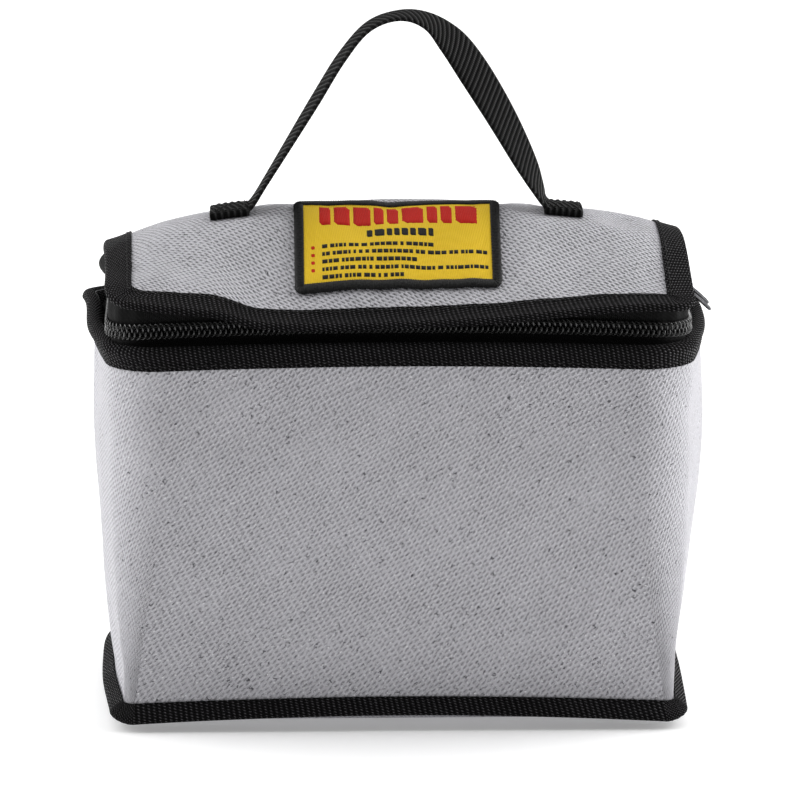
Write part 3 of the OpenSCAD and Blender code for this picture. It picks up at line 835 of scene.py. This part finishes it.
def make_body_binding():
    half = TAPE / 2
    low = RIM_Z - RIM_TAPE_W
    inner = LINING_IN - GAP - half
    top = RIM_Z - 2.9
    outer = [(half + GAP + 1.0 * f ** 2, low + (top - low) * f) for f in np.linspace(0, 1, 8)]
    centre_out = (outer[-1][0] + inner) / 2
    over = [(centre_out + (outer[-1][0] - centre_out) * math.cos(q), top + (RIM_Z - half - top) * math.sin(q))
            for q in np.linspace(0.15, math.pi - 0.15, 12)]
    inside = [(inner, top + (low - top) * f) for f in np.linspace(0, 1, 5)]
    taped("rim_tape", outer + over + inside, 0.16, "rim_binding")
    # base: out along the upper face of the seam, round its edge and back underneath
    start = np.array([0.75, SEAM_Z + 0.2])
    end = np.array([LIP_OUT + 0.25, SEAM_Z - LIP_DOWN + 1.7])
    upper = [tuple(start + (end - start) * f) for f in np.linspace(0, 1, 7)]
    fold = nose((LIP_OUT - 0.75, SEAM_Z - LIP_DOWN + 0.75), 1.3, 25, -110, 6)
    under = [(LIP_OUT - 3.1, SEAM_Z - LIP_DOWN - 0.1), (-0.4, SEAM_Z - 3.4), (-1.1, SEAM_Z - 2.6)]
    taped("base_tape", upper + fold + under, 0.22, "base_binding", at_base=True)


make_body_binding()


def body_stitches():
    heap = Heap()
    up = np.stack([DX, DY, 0 * DX], axis=1)
    lower = pushed(ring(TAPE + GAP + 0.02, RIM_Z - RIM_TAPE_W + 1.5), pucker(0.16))
    stitches(heap, np.concatenate([lower, lower[:1]]), np.concatenate([up, up[:1]]))
    side = up + np.array([0, 0, 0.6])
    base = pushed(ring(0.55 + 1.7, SEAM_Z - 1.4), pucker(0.22))
    base[:, 2] += lip_rise(base, 2.25)
    stitches(heap, np.concatenate([base, base[:1]]), np.concatenate([side, side[:1]]))
    heap.make("binding_stitches", "bag_body", "sewing_thread", THREAD)


body_stitches()

# ---------------------------------------------------------------- lid
LID_FRONT, LID_BACK = LID_LOW[1], LID_HIGH[1]
LID_HALF_W = LID_HIGH[0] - 3.2        # the soft edges draw in a little
LID_HALF_D = (LID_BACK - LID_FRONT) / 2
LID_MID = (LID_BACK + LID_FRONT) / 2
LID_R = 9.0
LID_BACK_Z = 155.2                    # height of the back edge
CREST_Z = 180.4                       # height of the crown, over the handle
CREST_LEFT, CREST_RIGHT = 17.0, 10.8  # how much lower the two side edges are, half-way back
LID_THIN = -(FABRIC + LINING + 2 * GAP)               # the lid's underside at its bound edge
LID_UNDER = -(FABRIC + FOAM + LINING + 2 * GAP)       # and where it holds the foam board


def lid_edge(x):
    """Height of the front edge: it droops, with a sharp fold left of the middle."""
    at = [-106, -87, -76, -62, -49, -36, -18, 0, 19, 36, 54, 72, 90, 106]
    height = [155.6, 154.8, 153.4, 152.1, 149.6, 148.8, 149.1,
              149.8, 150.4, 151.3, 153.1, 155.0, 155.8, 155.2]
    middle = 0.25 * (np.interp(x - 5, at, height) + np.interp(x + 5, at, height))
    return middle + 0.5 * np.interp(x, at, height)


def lid_height(x, y):
    u = np.clip(np.abs(x) / LID_HALF_W, 0, 1)
    v = np.clip((y - LID_MID) / LID_HALF_D, -1, 1)
    side = np.where(x < 0, CREST_LEFT, CREST_RIGHT)
    crest = CREST_Z - side * u ** np.where(x < 0, 3.6, 3.0)
    front = lid_edge(x)
    before = (1 - np.abs(v) ** 1.7) ** 1.75
    behind = 1 - np.abs(v) ** 1.8
    height = np.where(v < 0, front + (crest - front) * before, LID_BACK_Z + (crest - LID_BACK_Z) * behind)
    fold = eased(np.clip((-49 - x) / 20, 0, 1))
    return height + 3.0 * fold * np.exp(-((y + 45) / 15) ** 2)


def lid_warp(x, y):
    """The soft lid's right side draws in at the back, and its left front corner is blunt."""
    back = (y - LID_FRONT) / (LID_BACK - LID_FRONT)
    slip = np.where(x < 0, 0.4, 3.2) * back * np.clip(np.abs(x) / LID_HALF_W, 0, 1) ** 3
    blunt = 2.3 * np.exp(-((x + LID_HALF_W) ** 2 + (y - LID_FRONT) ** 2) / 11 ** 2)
    waist = 0.8 * np.sin(TAU * back) * np.clip(-x / LID_HALF_W, 0, 1) ** 8
    return x - slip + blunt + waist, y + blunt


LID_NX, LID_NY = 110, 58


def lid_plan_grid():
    """A grid over the lid whose corners are rounded."""
    across, back = np.linspace(-LID_HALF_W, LID_HALF_W, LID_NX), np.linspace(-LID_HALF_D, LID_HALF_D, LID_NY)
    x, y = np.meshgrid(across, back)
    a = (np.abs(x) - (LID_HALF_W - LID_R)) / LID_R
    b = (np.abs(y) - (LID_HALF_D - LID_R)) / LID_R
    corner = (a > 0) & (b > 0)
    a1, b1 = np.where(corner, a, 0), np.where(corner, b, 0)
    ax = LID_HALF_W - LID_R + LID_R * a1 * np.sqrt(1 - b1 ** 2 / 2)
    by = LID_HALF_D - LID_R + LID_R * b1 * np.sqrt(1 - a1 ** 2 / 2)
    return np.where(corner, np.sign(x) * ax, x), LID_MID + np.where(corner, np.sign(y) * by, y)


GRID_X, GRID_Y = lid_plan_grid()
LEFT_ROOT, RIGHT_ROOT = -52.0, 52.5
SEWN_L = 14.0
STRAP_W = 15.0
STRAP_T = 1.6
SEWN_LOW, SEWN_HIGH = 0.3, 2.9        # the handle's sewn ends, folded double, over the lid's cloth


def lid_inset(x, y):
    """How far a place on the lid is from its nearest edge."""
    return np.minimum(LID_HALF_W - np.abs(x), LID_HALF_D - np.abs(y - LID_MID))


def lid_change():
    """Simulated slackness of the lid, held round its tape and under the handle's sewn ends.

    It settles about 0.3 mm higher on average."""
    grid = np.stack([GRID_X, GRID_Y, lid_height(GRID_X, GRID_Y)], axis=-1)
    on_left = np.abs(GRID_X - (LEFT_ROOT - SEWN_L / 2)) < SEWN_L / 2
    on_right = np.abs(GRID_X - (RIGHT_ROOT + SEWN_L / 2)) < SEWN_L / 2
    pinned = (on_left | on_right) & (np.abs(GRID_Y) < STRAP_W / 2)
    pinned |= lid_inset(GRID_X, GRID_Y) < TAPE_W
    moved = simulate(grid, False, pinned, pressure=-0.8, slack=0.007, frames=18, cap=3.0)
    return softened(moved, False)


LID_CHANGE = lid_change()


def lid_shift(x, y):
    """The simulated movement at a place on the lid, between the grid's points."""
    i = np.clip((x + LID_HALF_W) / (2 * LID_HALF_W) * (LID_NX - 1), 0, LID_NX - 1.001)
    j = np.clip((y - LID_FRONT) / (2 * LID_HALF_D) * (LID_NY - 1), 0, LID_NY - 1.001)
    i0, j0 = i.astype(int), j.astype(int)
    fi, fj = (i - i0)[..., None], (j - j0)[..., None]
    c = LID_CHANGE
    near = c[j0, i0] * (1 - fi) + c[j0, i0 + 1] * fi
    far = c[j0 + 1, i0] * (1 - fi) + c[j0 + 1, i0 + 1] * fi
    return near * (1 - fj) + far * fj


def lid_normal(x, y, step=0.5):
    dx = (lid_height(x + step, y) - lid_height(x - step, y)) / (2 * step)
    dy = (lid_height(x, y + step) - lid_height(x, y - step)) / (2 * step)
    n = np.stack([-dx, -dy, np.ones_like(dx)], axis=-1)
    return n / np.linalg.norm(n, axis=-1, keepdims=True)


def lid_point(x, y, h):
    """A point h above the lid's cloth at a place in plan."""
    x, y, h = np.broadcast_arrays(np.asarray(x, float), np.asarray(y, float), np.asarray(h, float))
    moved_x, moved_y = lid_warp(x, y)
    surface = np.stack([moved_x, moved_y, lid_height(x, y)], axis=-1)
    return surface + lid_shift(x, y) + lid_normal(x, y) * h[..., None]


def lid_under(inset):
    """Height of the lid's underside: the layers come together under the tape."""
    return np.interp(inset, [TAPE_W - 0.5, TAPE_W + 3], [LID_THIN, LID_UNDER])


def lid_layer(name, node, inset, low, thickness, look):
    """A sheet that follows the lid, its edges drawn in by inset.

    low is how high its lower face is over the lid's cloth, or a function of the way in from the edge."""
    x = GRID_X * (LID_HALF_W - inset) / LID_HALF_W
    y = LID_MID + (GRID_Y - LID_MID) * (LID_HALF_D - inset) / LID_HALF_D
    if callable(low):
        low = low(lid_inset(x, y))
    points, faces, cloth = slab(lid_point(x, y, low), lid_point(x, y, low + thickness),
                                np.stack([x, y * LID_ROUND], axis=-1))
    return make(name, points, faces, "lid", look, cloth, node=node)


def make_lid_layers():
    cloth = lid_layer("lid_cloth", "lid_fabric", 1.0, -FABRIC, FABRIC, LID_CLOTH)
    foam = lid_layer("lid_foam", "lid_foam_board", TAPE_W + 3, -FABRIC - GAP - FOAM, FOAM, FOAM_M)
    lining = lid_layer("lid_lining_cloth", "lid_lining", 1.0, lid_under, LINING, LINING_M)


make_lid_layers()


def lid_ring(inset):
    """The lid's plan, drawn in by inset: the tape is mitred, but bent round at the left front corner."""
    a, b = LID_HALF_W - inset, LID_HALF_D - inset
    mitred = np.stack(rounded(a, b, max(LID_R - inset, 0.5), LID_MID))
    bent = np.stack(rounded(a, b, max(LID_R - inset, 4.5), LID_MID))
    share = np.exp(-((mitred[0] + a) ** 2 + (mitred[1] + b - LID_MID) ** 2) / 9 ** 2)
    return mitred * (1 - share) + bent * share


LID_ARC = lengths(lid_ring(0).T)


def make_lid_binding():
    half = TAPE / 2
    over, under = GAP + half, LID_THIN - GAP - half
    middle, radius = (over + under) / 2, (over - under) / 2
    line = [(TAPE_W - (TAPE_W - radius) * f, over) for f in np.linspace(0, 1, 9)]
    for q in np.linspace(1.35, -1.35, 9):
        line.append((radius - radius * math.cos(q), middle + radius * math.sin(q)))
    line += [(TAPE_W * f + radius * (1 - f), under) for f in np.linspace(0, 1, 6)]
    outline = thick_line([(-inset, h) for inset, h in line], TAPE)
    rings = []
    waves = NEAR_CORNER * 0.14 * np.sin(TAU * LID_ARC / 3.2) + 0.14 * ripple(LID_ARC, 0 * LID_ARC, 31)
    for out, h in outline:
        x, y = lid_ring(-out)
        rings.append(lid_point(x, y, h + waves))
    band("lid_tape", rings, "lid", TAPE_BLACK, LID_ARC, node="lid_binding")
    heap = Heap()
    x, y = lid_ring(TAPE_W - 1.2)
    path = lid_point(x, y, GAP + TAPE + 0.02 + waves)
    up = lid_normal(x, y)
    stitches(heap, np.concatenate([path, path[:1]]), np.concatenate([up, up[:1]]))
    heap.make("lid_stitches", "lid", "sewing_thread", THREAD)


make_lid_binding()

# ---------------------------------------------------------------- zipper
COIL_LOW, COIL_HIGH = box_mm("lower_zipper_coil")
CHAIN_Z = (COIL_HIGH[2] + box_mm("upper_zipper_coil")[0][2]) / 2
COIL_T = 2.05                         # thickness of the coil
ZIP_TAPE = 0.5
COIL_PITCH = 1.9
ZIP_R = 12.0                          # corner radius of the tape's outer face
ZIP_HALF_W = COIL_HIGH[0] - COIL_T - GAP
ZIP_MID = (COIL_HIGH[1] + ZIP_R + COIL_LOW[1] + COIL_T + GAP) / 2
ZIP_HALF_D = ZIP_MID - COIL_LOW[1] - COIL_T - GAP


def zip_ring(out, z):
    """The zipper's U at height z, moved outwards from the tape's outer face; its sides are straight."""
    x, y = rounded(ZIP_HALF_W + out, ZIP_HALF_D + out, ZIP_R + out, ZIP_MID)
    rise = BOW * (1 - (x / ZIP_HALF_W) ** 2) * np.clip(-y / ZIP_HALF_D, 0, 1)
    return np.stack([x, y, z + rise], axis=1)[:ZIP_LAST + 1]


def make_coil(name, body, side, node):
    """One row of the coil: side is 1 for the upper row and -1 for the lower one."""
    line = zip_ring(GAP + COIL_T / 2, CHAIN_Z)
    run = lengths(line)
    turns = int(run[-1] / COIL_PITCH)
    per_turn = 12
    t = np.arange(turns * per_turn) / per_turn
    along = (t + (0.5 if side > 0 else 0.0)) * COIL_PITCH
    # the filament leans: it goes out at the front of a turn and comes back behind it
    q = TAU * t
    s = np.clip(along + 0.32 * COIL_PITCH * np.sin(q), 0, run[-1])
    centre = placed(line, run, s)
    dx = np.interp(s, run, DX[:ZIP_LAST + 1])
    dy = np.interp(s, run, DY[:ZIP_LAST + 1])
    reach = 1.42
    up = side * (reach * 0.86 + reach * np.cos(q))
    out = 0.72 * np.sin(q)
    points = centre + np.stack([dx * out, dy * out, up], axis=1)
    make_tube(name, points, 0.36, 6, body, NYLON, node)
    thread = placed(zip_ring(GAP + COIL_T - 0.1, CHAIN_Z + side * 1.75), run, np.arange(0, run[-1], 0.95))
    thread[::2, 2] += 0.12
    make_tube(name + "_thread", thread, 0.2, 5, body, THREAD)


make_coil("lower_coil", "bag_body", -1, "lower_zipper_coil")
make_coil("upper_coil", "lid", 1, "upper_zipper_coil")


def make_lower_tape():
    sewn = LINING_IN - 2 * GAP - TAPE - ZIP_TAPE / 2
    low = RIM_Z - TAPE_W - 0.5
    heights = [low, RIM_Z - 7, RIM_Z - 5, RIM_Z - 3, RIM_Z - 1, RIM_Z + 1, CHAIN_Z - 2.4, CHAIN_Z - 0.8]
    rings = []
    for out, z in thick_line([(0, z) for z in heights], ZIP_TAPE, 1):
        f = eased(min(max((z - RIM_Z + 7) / 8, 0), 1))
        at_wall = ring(sewn + out, z)[:ZIP_LAST + 1]
        rings.append(at_wall * (1 - f) + zip_ring(out - ZIP_TAPE / 2, z) * f)
    band("lower_tape", rings, "bag_body", KNIT, ARC[:ZIP_LAST + 1], False, "lower_zipper_tape")


make_lower_tape()


def make_upper_tape():
    """A band from the chain up to the lid's lower tape, a little slack, so that it bulges."""
    rows = 12
    x, y = zip_ring(0, CHAIN_Z)[:, :2].T
    under = LID_THIN - 2 * GAP - TAPE - 0.2
    dx, dy = DX[:ZIP_LAST + 1], DY[:ZIP_LAST + 1]
    bottom = zip_ring(-ZIP_TAPE, CHAIN_Z + 0.8)
    top = lid_point(x, y, under)
    tall = np.maximum(top[:, 2] - bottom[:, 2], 0.5)
    bulge = np.where(x < 0, 7.5, 1.0) * np.exp(-((y - 36) / 9) ** 2)
    slack = (1.2 + bulge) * np.clip((tall - 5) / 12, 0, 1) * np.abs(dx) + 0.4
    folds = 0.5 * np.sin(TAU * ARC[:ZIP_LAST + 1] / 13) * NEAR_CORNER[:ZIP_LAST + 1]
    sheets = {}
    for side in (0, 1):
        for i in range(rows):
            f = i / (rows - 1)
            out = slack * math.sin(math.pi * f) ** 0.8 + folds * math.sin(math.pi * f) + side * ZIP_TAPE
            p = bottom * (1 - f) + top * f
            sheets[side, i] = p + np.stack([dx * out, dy * out, 0 * dx], axis=1)
    rings = [sheets[1, i] for i in range(rows)] + [sheets[0, i] for i in range(rows - 1, -1, -1)]
    band("upper_tape", rings, "lid", KNIT, ARC[:ZIP_LAST + 1], False, "upper_zipper_tape")


make_upper_tape()


def make_hinge_strip():
    """The cloth that joins the lid to the back wall."""
    low, high = box_mm("back_hinge_strip")
    half_w = high[0]
    hinge_y, hinge_z = joint_mm("lid_hinge")[1:]
    columns = 90
    x = np.linspace(half_w, -half_w, columns)
    sewn = TOP_HALF_D + LINING_IN - 2 * GAP - TAPE - ZIP_TAPE
    line = smooth_line([(sewn, low[2]), (sewn, RIM_Z - 6), (hinge_y + 0.9, RIM_Z + 0.6),
                        (hinge_y, hinge_z - 4), (hinge_y, hinge_z), (hinge_y - 0.2, 151.0)], 4)
    outline = thick_line(line, ZIP_TAPE, 1)
    bow = BOW * (1 - (x / TOP_HALF_W) ** 2)
    rings = []
    for y, z in outline:
        share = np.clip((hinge_z - z) / 8, 0, 1)
        wave = 0.3 * np.clip((z - RIM_Z) / 6, 0, 1) * ripple(x, 0 * x + z, 41)
        rings.append(np.stack([x, y + wave, z + bow * share], axis=1))
    piece = band("back_hinge_cloth", rings, None, TAPE_BLACK, x - x[-1], False,
                 "back_hinge_strip")
    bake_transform(piece)


make_hinge_strip()


def make_pull(joint_name, body, node):
    """A loop of thin wire through the slider's bar; it leans out over the rim's tape."""
    bar = joint_mm(joint_name)
    long, half, lean, radius = 9.6, 1.9, math.radians(44), 0.52
    path = [(0.0, 0.0, 0.35), (0.0, half * 0.7, 0.0), (1.2, half, -0.3), (long * 0.6, half, 0.0)]
    for q in np.linspace(0.15, math.pi - 0.15, 9):
        path.append((long - half + half * math.sin(q), half * math.cos(q), 0.0))
    path += [(along, -side, lift) for along, side, lift in path[3:0:-1]]
    points = []
    for along, side, lift in path + path[:1]:
        out = along * math.cos(lean) + lift * math.sin(lean)
        down = along * math.sin(lean) - lift * math.cos(lean)
        points.append((bar[0] + out, bar[1] + side, bar[2] - down))
    make_tube(node + "_wire", points, radius, 10, body, METAL, node)


make_pull("front_pull_swing", "pull_front", "front_slider_pull")
make_pull("rear_pull_swing", "pull_rear", "rear_slider_pull")
for metal_node in ("front_slider", "rear_slider", "zipper_end_stops"):
    frame["nodes"][metal_node].data.materials.clear()
    frame["nodes"][metal_node].data.materials.append(METAL)

# ---------------------------------------------------------------- label
LABEL_LOW, LABEL_HIGH = box_mm("label_border")
LABEL_Y0, LABEL_Y1 = LABEL_LOW[1] + 3.8, LABEL_HIGH[1]
BORDER_W = 3.5
PATCH_Z = 0.45
MARKS_LOW, MARKS_HIGH = PATCH_Z + 0.5, PATCH_Z + 0.78     # the woven marks, over the lid's cloth


def plate(heap, x0, x1, y0, y1, low, high, nx, ny, drop=0.0):
    """A thin plate on the lid, its edges rounded down by drop."""
    x, y = np.meshgrid(np.linspace(x0, x1, nx + 1), np.linspace(y0, y1, ny + 1))
    edge = np.minimum(np.minimum(x - x0, x1 - x), np.minimum(y - y0, y1 - y))
    top_h = high - drop * np.clip(1 - edge / max(drop, 1e-6), 0, 1) ** 2
    heap.add(*slab(lid_point(x, y, low), lid_point(x, y, top_h), np.stack([x, y], axis=-1)))


def make_label():
    x0, x1 = LABEL_LOW[0], LABEL_HIGH[0]
    y0, y1 = LABEL_Y0, LABEL_Y1
    patch = Heap()
    inset = BORDER_W * 0.6
    plate(patch, x0 + inset, x1 - inset, y0 + inset, y1 - inset, PATCH_Z - 0.3, PATCH_Z + 0.6, 60, 36, 0.2)
    patch.make("label_field", "lid", "label_cloth", YELLOW, "label_patch")
    # overlocked border: thread wound closely round the patch's edge
    mid_x, mid_y = (x0 + x1) / 2, (y0 + y1) / 2
    half_x, half_y = (x1 - x0 - BORDER_W) / 2, (y1 - y0 - BORDER_W) / 2
    corner = 1.2
    outline = []
    for cx, cy, start in ((1, -1, -90), (1, 1, 0), (-1, 1, 90), (-1, -1, 180)):
        for i in range(7):
            q = math.radians(start + 15 * i)
            outline.append((mid_x + cx * (half_x - corner) + corner * math.cos(q),
                            mid_y + cy * (half_y - corner) + corner * math.sin(q)))
    outline = np.array(outline + outline[:1])
    run = lengths(outline)
    threads = int(run[-1] / 0.62)
    samples = threads * 4
    s = np.arange(samples) / samples * run[-1]
    x, y = (np.interp(s, run, outline[:, i]) for i in range(2))
    tx, ty = np.gradient(x), np.gradient(y)
    size = np.hypot(tx, ty)
    nx, ny = ty / size, -tx / size
    around = 14
    rings = []
    for i in range(around):
        q = TAU * i / around
        rib = 0.13 * np.cos(TAU * (s / run[-1] * threads + 0.5 * math.sin(q)))
        out = math.cos(q) * (BORDER_W / 2 + rib)
        h = PATCH_Z + 0.35 + math.sin(q) * (0.95 + rib)
        rings.append(lid_point(x + nx * out, y + ny * out, h + 0 * x))
    grid = np.stack(rings)
    faces = grid_faces(around, samples, wrap_rows=True, wrap_columns=True)
    cloth = on_cloth(s, np.arange(around) * 0.5)
    make("label_overlock", grid.reshape(-1, 3), faces, "lid", THREAD, cloth,
         node="label_border")


make_label()


def blocks(heap, x0, x1, y0, y1, count, space, seed):
    """A row of upright blocks of different widths, like a bold heading seen from far away."""
    rng = np.random.default_rng(seed)
    shares = rng.uniform(0.6, 1.4, count)
    widths = shares / shares.sum() * (x1 - x0 - space * (count - 1))
    x = x0
    for wide in widths:
        plate(heap, x, x + wide, y0, y1, MARKS_LOW, MARKS_HIGH, 4, 6, 0.2)
        x += wide + space


def make_label_marks():
    """Plain woven marks: a red heading of blocks, a short black one, and rows of dashes with red dots."""
    rng = np.random.default_rng(5)
    red, black = Heap(), Heap()
    back = LABEL_Y1 - BORDER_W
    depth = back - LABEL_Y0 - BORDER_W
    blocks(red, -28, 29, back - 0.33 * depth, back - 0.03 * depth, 9, 0.9, 11)
    blocks(black, -11, 13, back - 0.49 * depth, back - 0.39 * depth, 8, 0.6, 12)
    rows = (0.59, 0.68, 0.77, 0.86, 0.95)
    reaches = (14, 32, 8, 33, 2)
    for row, reach in zip(rows, reaches):
        y = back - row * depth
        x = -27.0
        if row != rows[-1]:
            plate(red, -31.2, -29.4, y - 0.9, y + 0.9, MARKS_LOW, MARKS_HIGH, 3, 3, 0.3)
        while x < reach - 1:
            long = min(rng.uniform(0.8, 2.2), reach - x)
            plate(black, x, x + long, y - 0.75, y + 0.75, MARKS_LOW, MARKS_HIGH, 2, 2, 0.15)
            x += long + (0.35 if rng.random() < 0.75 else 1.0)
    red.make("label_red_marks", "lid", "label_cloth", RED)
    black.make("label_black_marks", "lid", "label_cloth", INK)


make_label_marks()

# ---------------------------------------------------------------- handle
# the strap's middle line as (x, z, degrees by which its face turns to the front)
ROUTE = [(-56, 179.3, 0), (-53.6, 180.1, 0), (-51.2, 182.9, 0), (-47.5, 189, 0), (-39, 203, 3),
         (-29, 219.5, 6), (-19.5, 235, 5), (-10, 246, 2), (1, 250, 2), (11, 248, 14),
         (20, 240.5, 38), (28, 229.5, 47), (38, 213, 42), (47, 196, 30), (51.5, 186.5, 14),
         (53.6, 182, 4), (56.4, 180, 0), (59.2, 179.1, 0)]


def make_strap():
    """The free webbing, from one sewn end to the other."""
    line = smooth_line(ROUTE, 7)
    centre = np.stack([line[:, 0], 0 * line[:, 0], line[:, 1]], axis=1)
    d = np.gradient(centre, axis=0)
    d /= np.linalg.norm(d, axis=1)[:, None]
    out = np.stack([-d[:, 2], 0 * d[:, 0], d[:, 0]], axis=1)
    q = np.radians(line[:, 2])[:, None]
    across = np.array([[0, 1.0, 0]]) * np.cos(q) + out * np.sin(q)
    face = np.cross(d, across)
    run = lengths(centre)
    steps = 16
    section = []
    for i in range(steps + 1):
        f = i / steps
        blunt = min(1, math.sqrt(max(1 - (2 * f - 1) ** 12, 0.03)))
        section.append((STRAP_W * (f - 0.5), STRAP_T / 2 * blunt))
    loop = section + [(w, -h) for w, h in section[::-1]]
    # a little curl across the width where the webbing is bent hardest
    curl = 0.7 * np.exp(-((line[:, 0] - 12) / 16) ** 2)
    rings = []
    for w, h in loop:
        cup = curl * (1 - (2 * w / STRAP_W) ** 2)
        rings.append(centre + across * w + face * (h + cup)[:, None])
    points = np.stack(rings).reshape(-1, 3)
    cloth = on_cloth(run, np.array([w for w, _ in loop]))
    faces = grid_faces(len(rings), len(run), wrap_rows=True) + end_faces(len(rings), len(run))
    piece = make("handle_webbing", points, faces, None, WEBBING, cloth, node="handle_strap")
    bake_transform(piece)


make_strap()


def make_sewn_end(name, node, x0, x1):
    """A sewn end of webbing on the crown, folded double."""
    heap = Heap()
    plate(heap, x0, x1, -STRAP_W / 2, STRAP_W / 2, SEWN_LOW, SEWN_HIGH, 28, 30, 0.7)
    heap.make(name, "lid", "webbing", WEBBING, node)


make_sewn_end("left_end_webbing", "left_handle_end", LEFT_ROOT - SEWN_L - 1, LEFT_ROOT - 1)
make_sewn_end("right_end_webbing", "right_handle_end", RIGHT_ROOT + 1, RIGHT_ROOT + SEWN_L + 1)


def make_handle_stitching():
    heap = Heap()
    high = SEWN_HIGH + 0.02
    boxes = ((LEFT_ROOT - SEWN_L + 0.6, LEFT_ROOT - 2.6), (RIGHT_ROOT + 2.6, RIGHT_ROOT + SEWN_L - 0.6))
    for x0, x1 in boxes:
        reach = STRAP_W / 2 - 1.6
        corners = [(x0, -reach), (x1, -reach), (x1, reach), (x0, reach), (x0, -reach), (x1, reach)]
        for (ax, ay), (bx, by) in zip(corners, corners[1:]):
            f = np.linspace(0, 1, 16)
            x, y = ax + (bx - ax) * f, ay + (by - ay) * f
            stitches(heap, lid_point(x, y, high), lid_normal(x, y), pitch=2.4, length=1.9, radius=0.3)
    heap.make("handle_end_stitches", "lid", "sewing_thread", THREAD, "handle_stitching")


make_handle_stitching()


# ---------------------------------------------------------------- stage
FLOOR_HALF = 6000.0                   # in millimetres
FLOOR_GLOW, WORLD_GLOW = 0.22, 0.28


def make_stage():
    corners = [(-1, -1, 0), (1, -1, 0), (1, 1, 0), (-1, 1, 0)]
    floor = plain_object("floor", np.array(corners) * FLOOR_HALF, [(0, 1, 2, 3)])
    s = Shader("floor_paint", roughness=0.9, specular=0.1)
    s.main.inputs["Emission Color"].default_value = (1, 1, 1, 1)
    s.main.inputs["Emission Strength"].default_value = FLOOR_GLOW
    floor.data.materials.append(s.finish((0.92, 0.92, 0.92)))
    world = bpy.data.worlds.new("studio")
    world.use_nodes = True
    background = world.node_tree.nodes["Background"]
    background.inputs["Color"].default_value = (1, 1, 1, 1)
    background.inputs["Strength"].default_value = WORLD_GLOW
    bpy.context.scene.world = world


def area_light(name, place, target, size, radiance):
    """A soft light; radiance is what a white wall would show right in front of it."""
    data = bpy.data.lights.new(name, "AREA")
    data.shape = "RECTANGLE"
    data.size, data.size_y = size
    data.energy = radiance * math.pi * size[0] * size[1]
    light = bpy.data.objects.new(name, data)
    bpy.context.scene.collection.objects.link(light)
    light.location = place
    light.visible_camera = False
    light.rotation_euler = (Vector(target) - Vector(place)).to_track_quat("-Z", "Y").to_euler()


make_stage()
area_light("overhead", (0, 1.3, 2.6), (0, 0.7, 0), (5, 4), 1.25)
for panel, x, radiance in (("left_panel", -1.5, 3.8), ("right_panel", 1.5, 4.9)):
    area_light(panel, (x, 0.35, 0.7), (0, 0, 0.1), (1.4, 1.4), radiance)


LENS, SENSOR_W = 278.5, 36            # in millimetres
CAMERA_AIM = (0.0014, 0.0, 0.108)     # in metres
CAMERA_AWAY = 2.257
CAMERA_RISE, CAMERA_TURN = math.radians(13.5), math.radians(-1.34)


def make_camera():
    """A long lens, a little above the bag and a little to its left."""
    data = bpy.data.cameras.new("camera")
    data.lens = LENS
    data.sensor_width = SENSOR_W
    camera = bpy.data.objects.new("camera", data)
    bpy.context.scene.collection.objects.link(camera)
    aim = Vector(CAMERA_AIM)
    flat = CAMERA_AWAY * math.cos(CAMERA_RISE)
    camera.location = aim + Vector((flat * math.sin(CAMERA_TURN), -flat * math.cos(CAMERA_TURN),
                                    CAMERA_AWAY * math.sin(CAMERA_RISE)))
    camera.rotation_euler = (aim - camera.location).to_track_quat("-Z", "Y").to_euler()
    bpy.context.scene.camera = camera
    bpy.context.scene.view_settings.view_transform = "Standard"


make_camera()

bpy.context.view_layer.update()
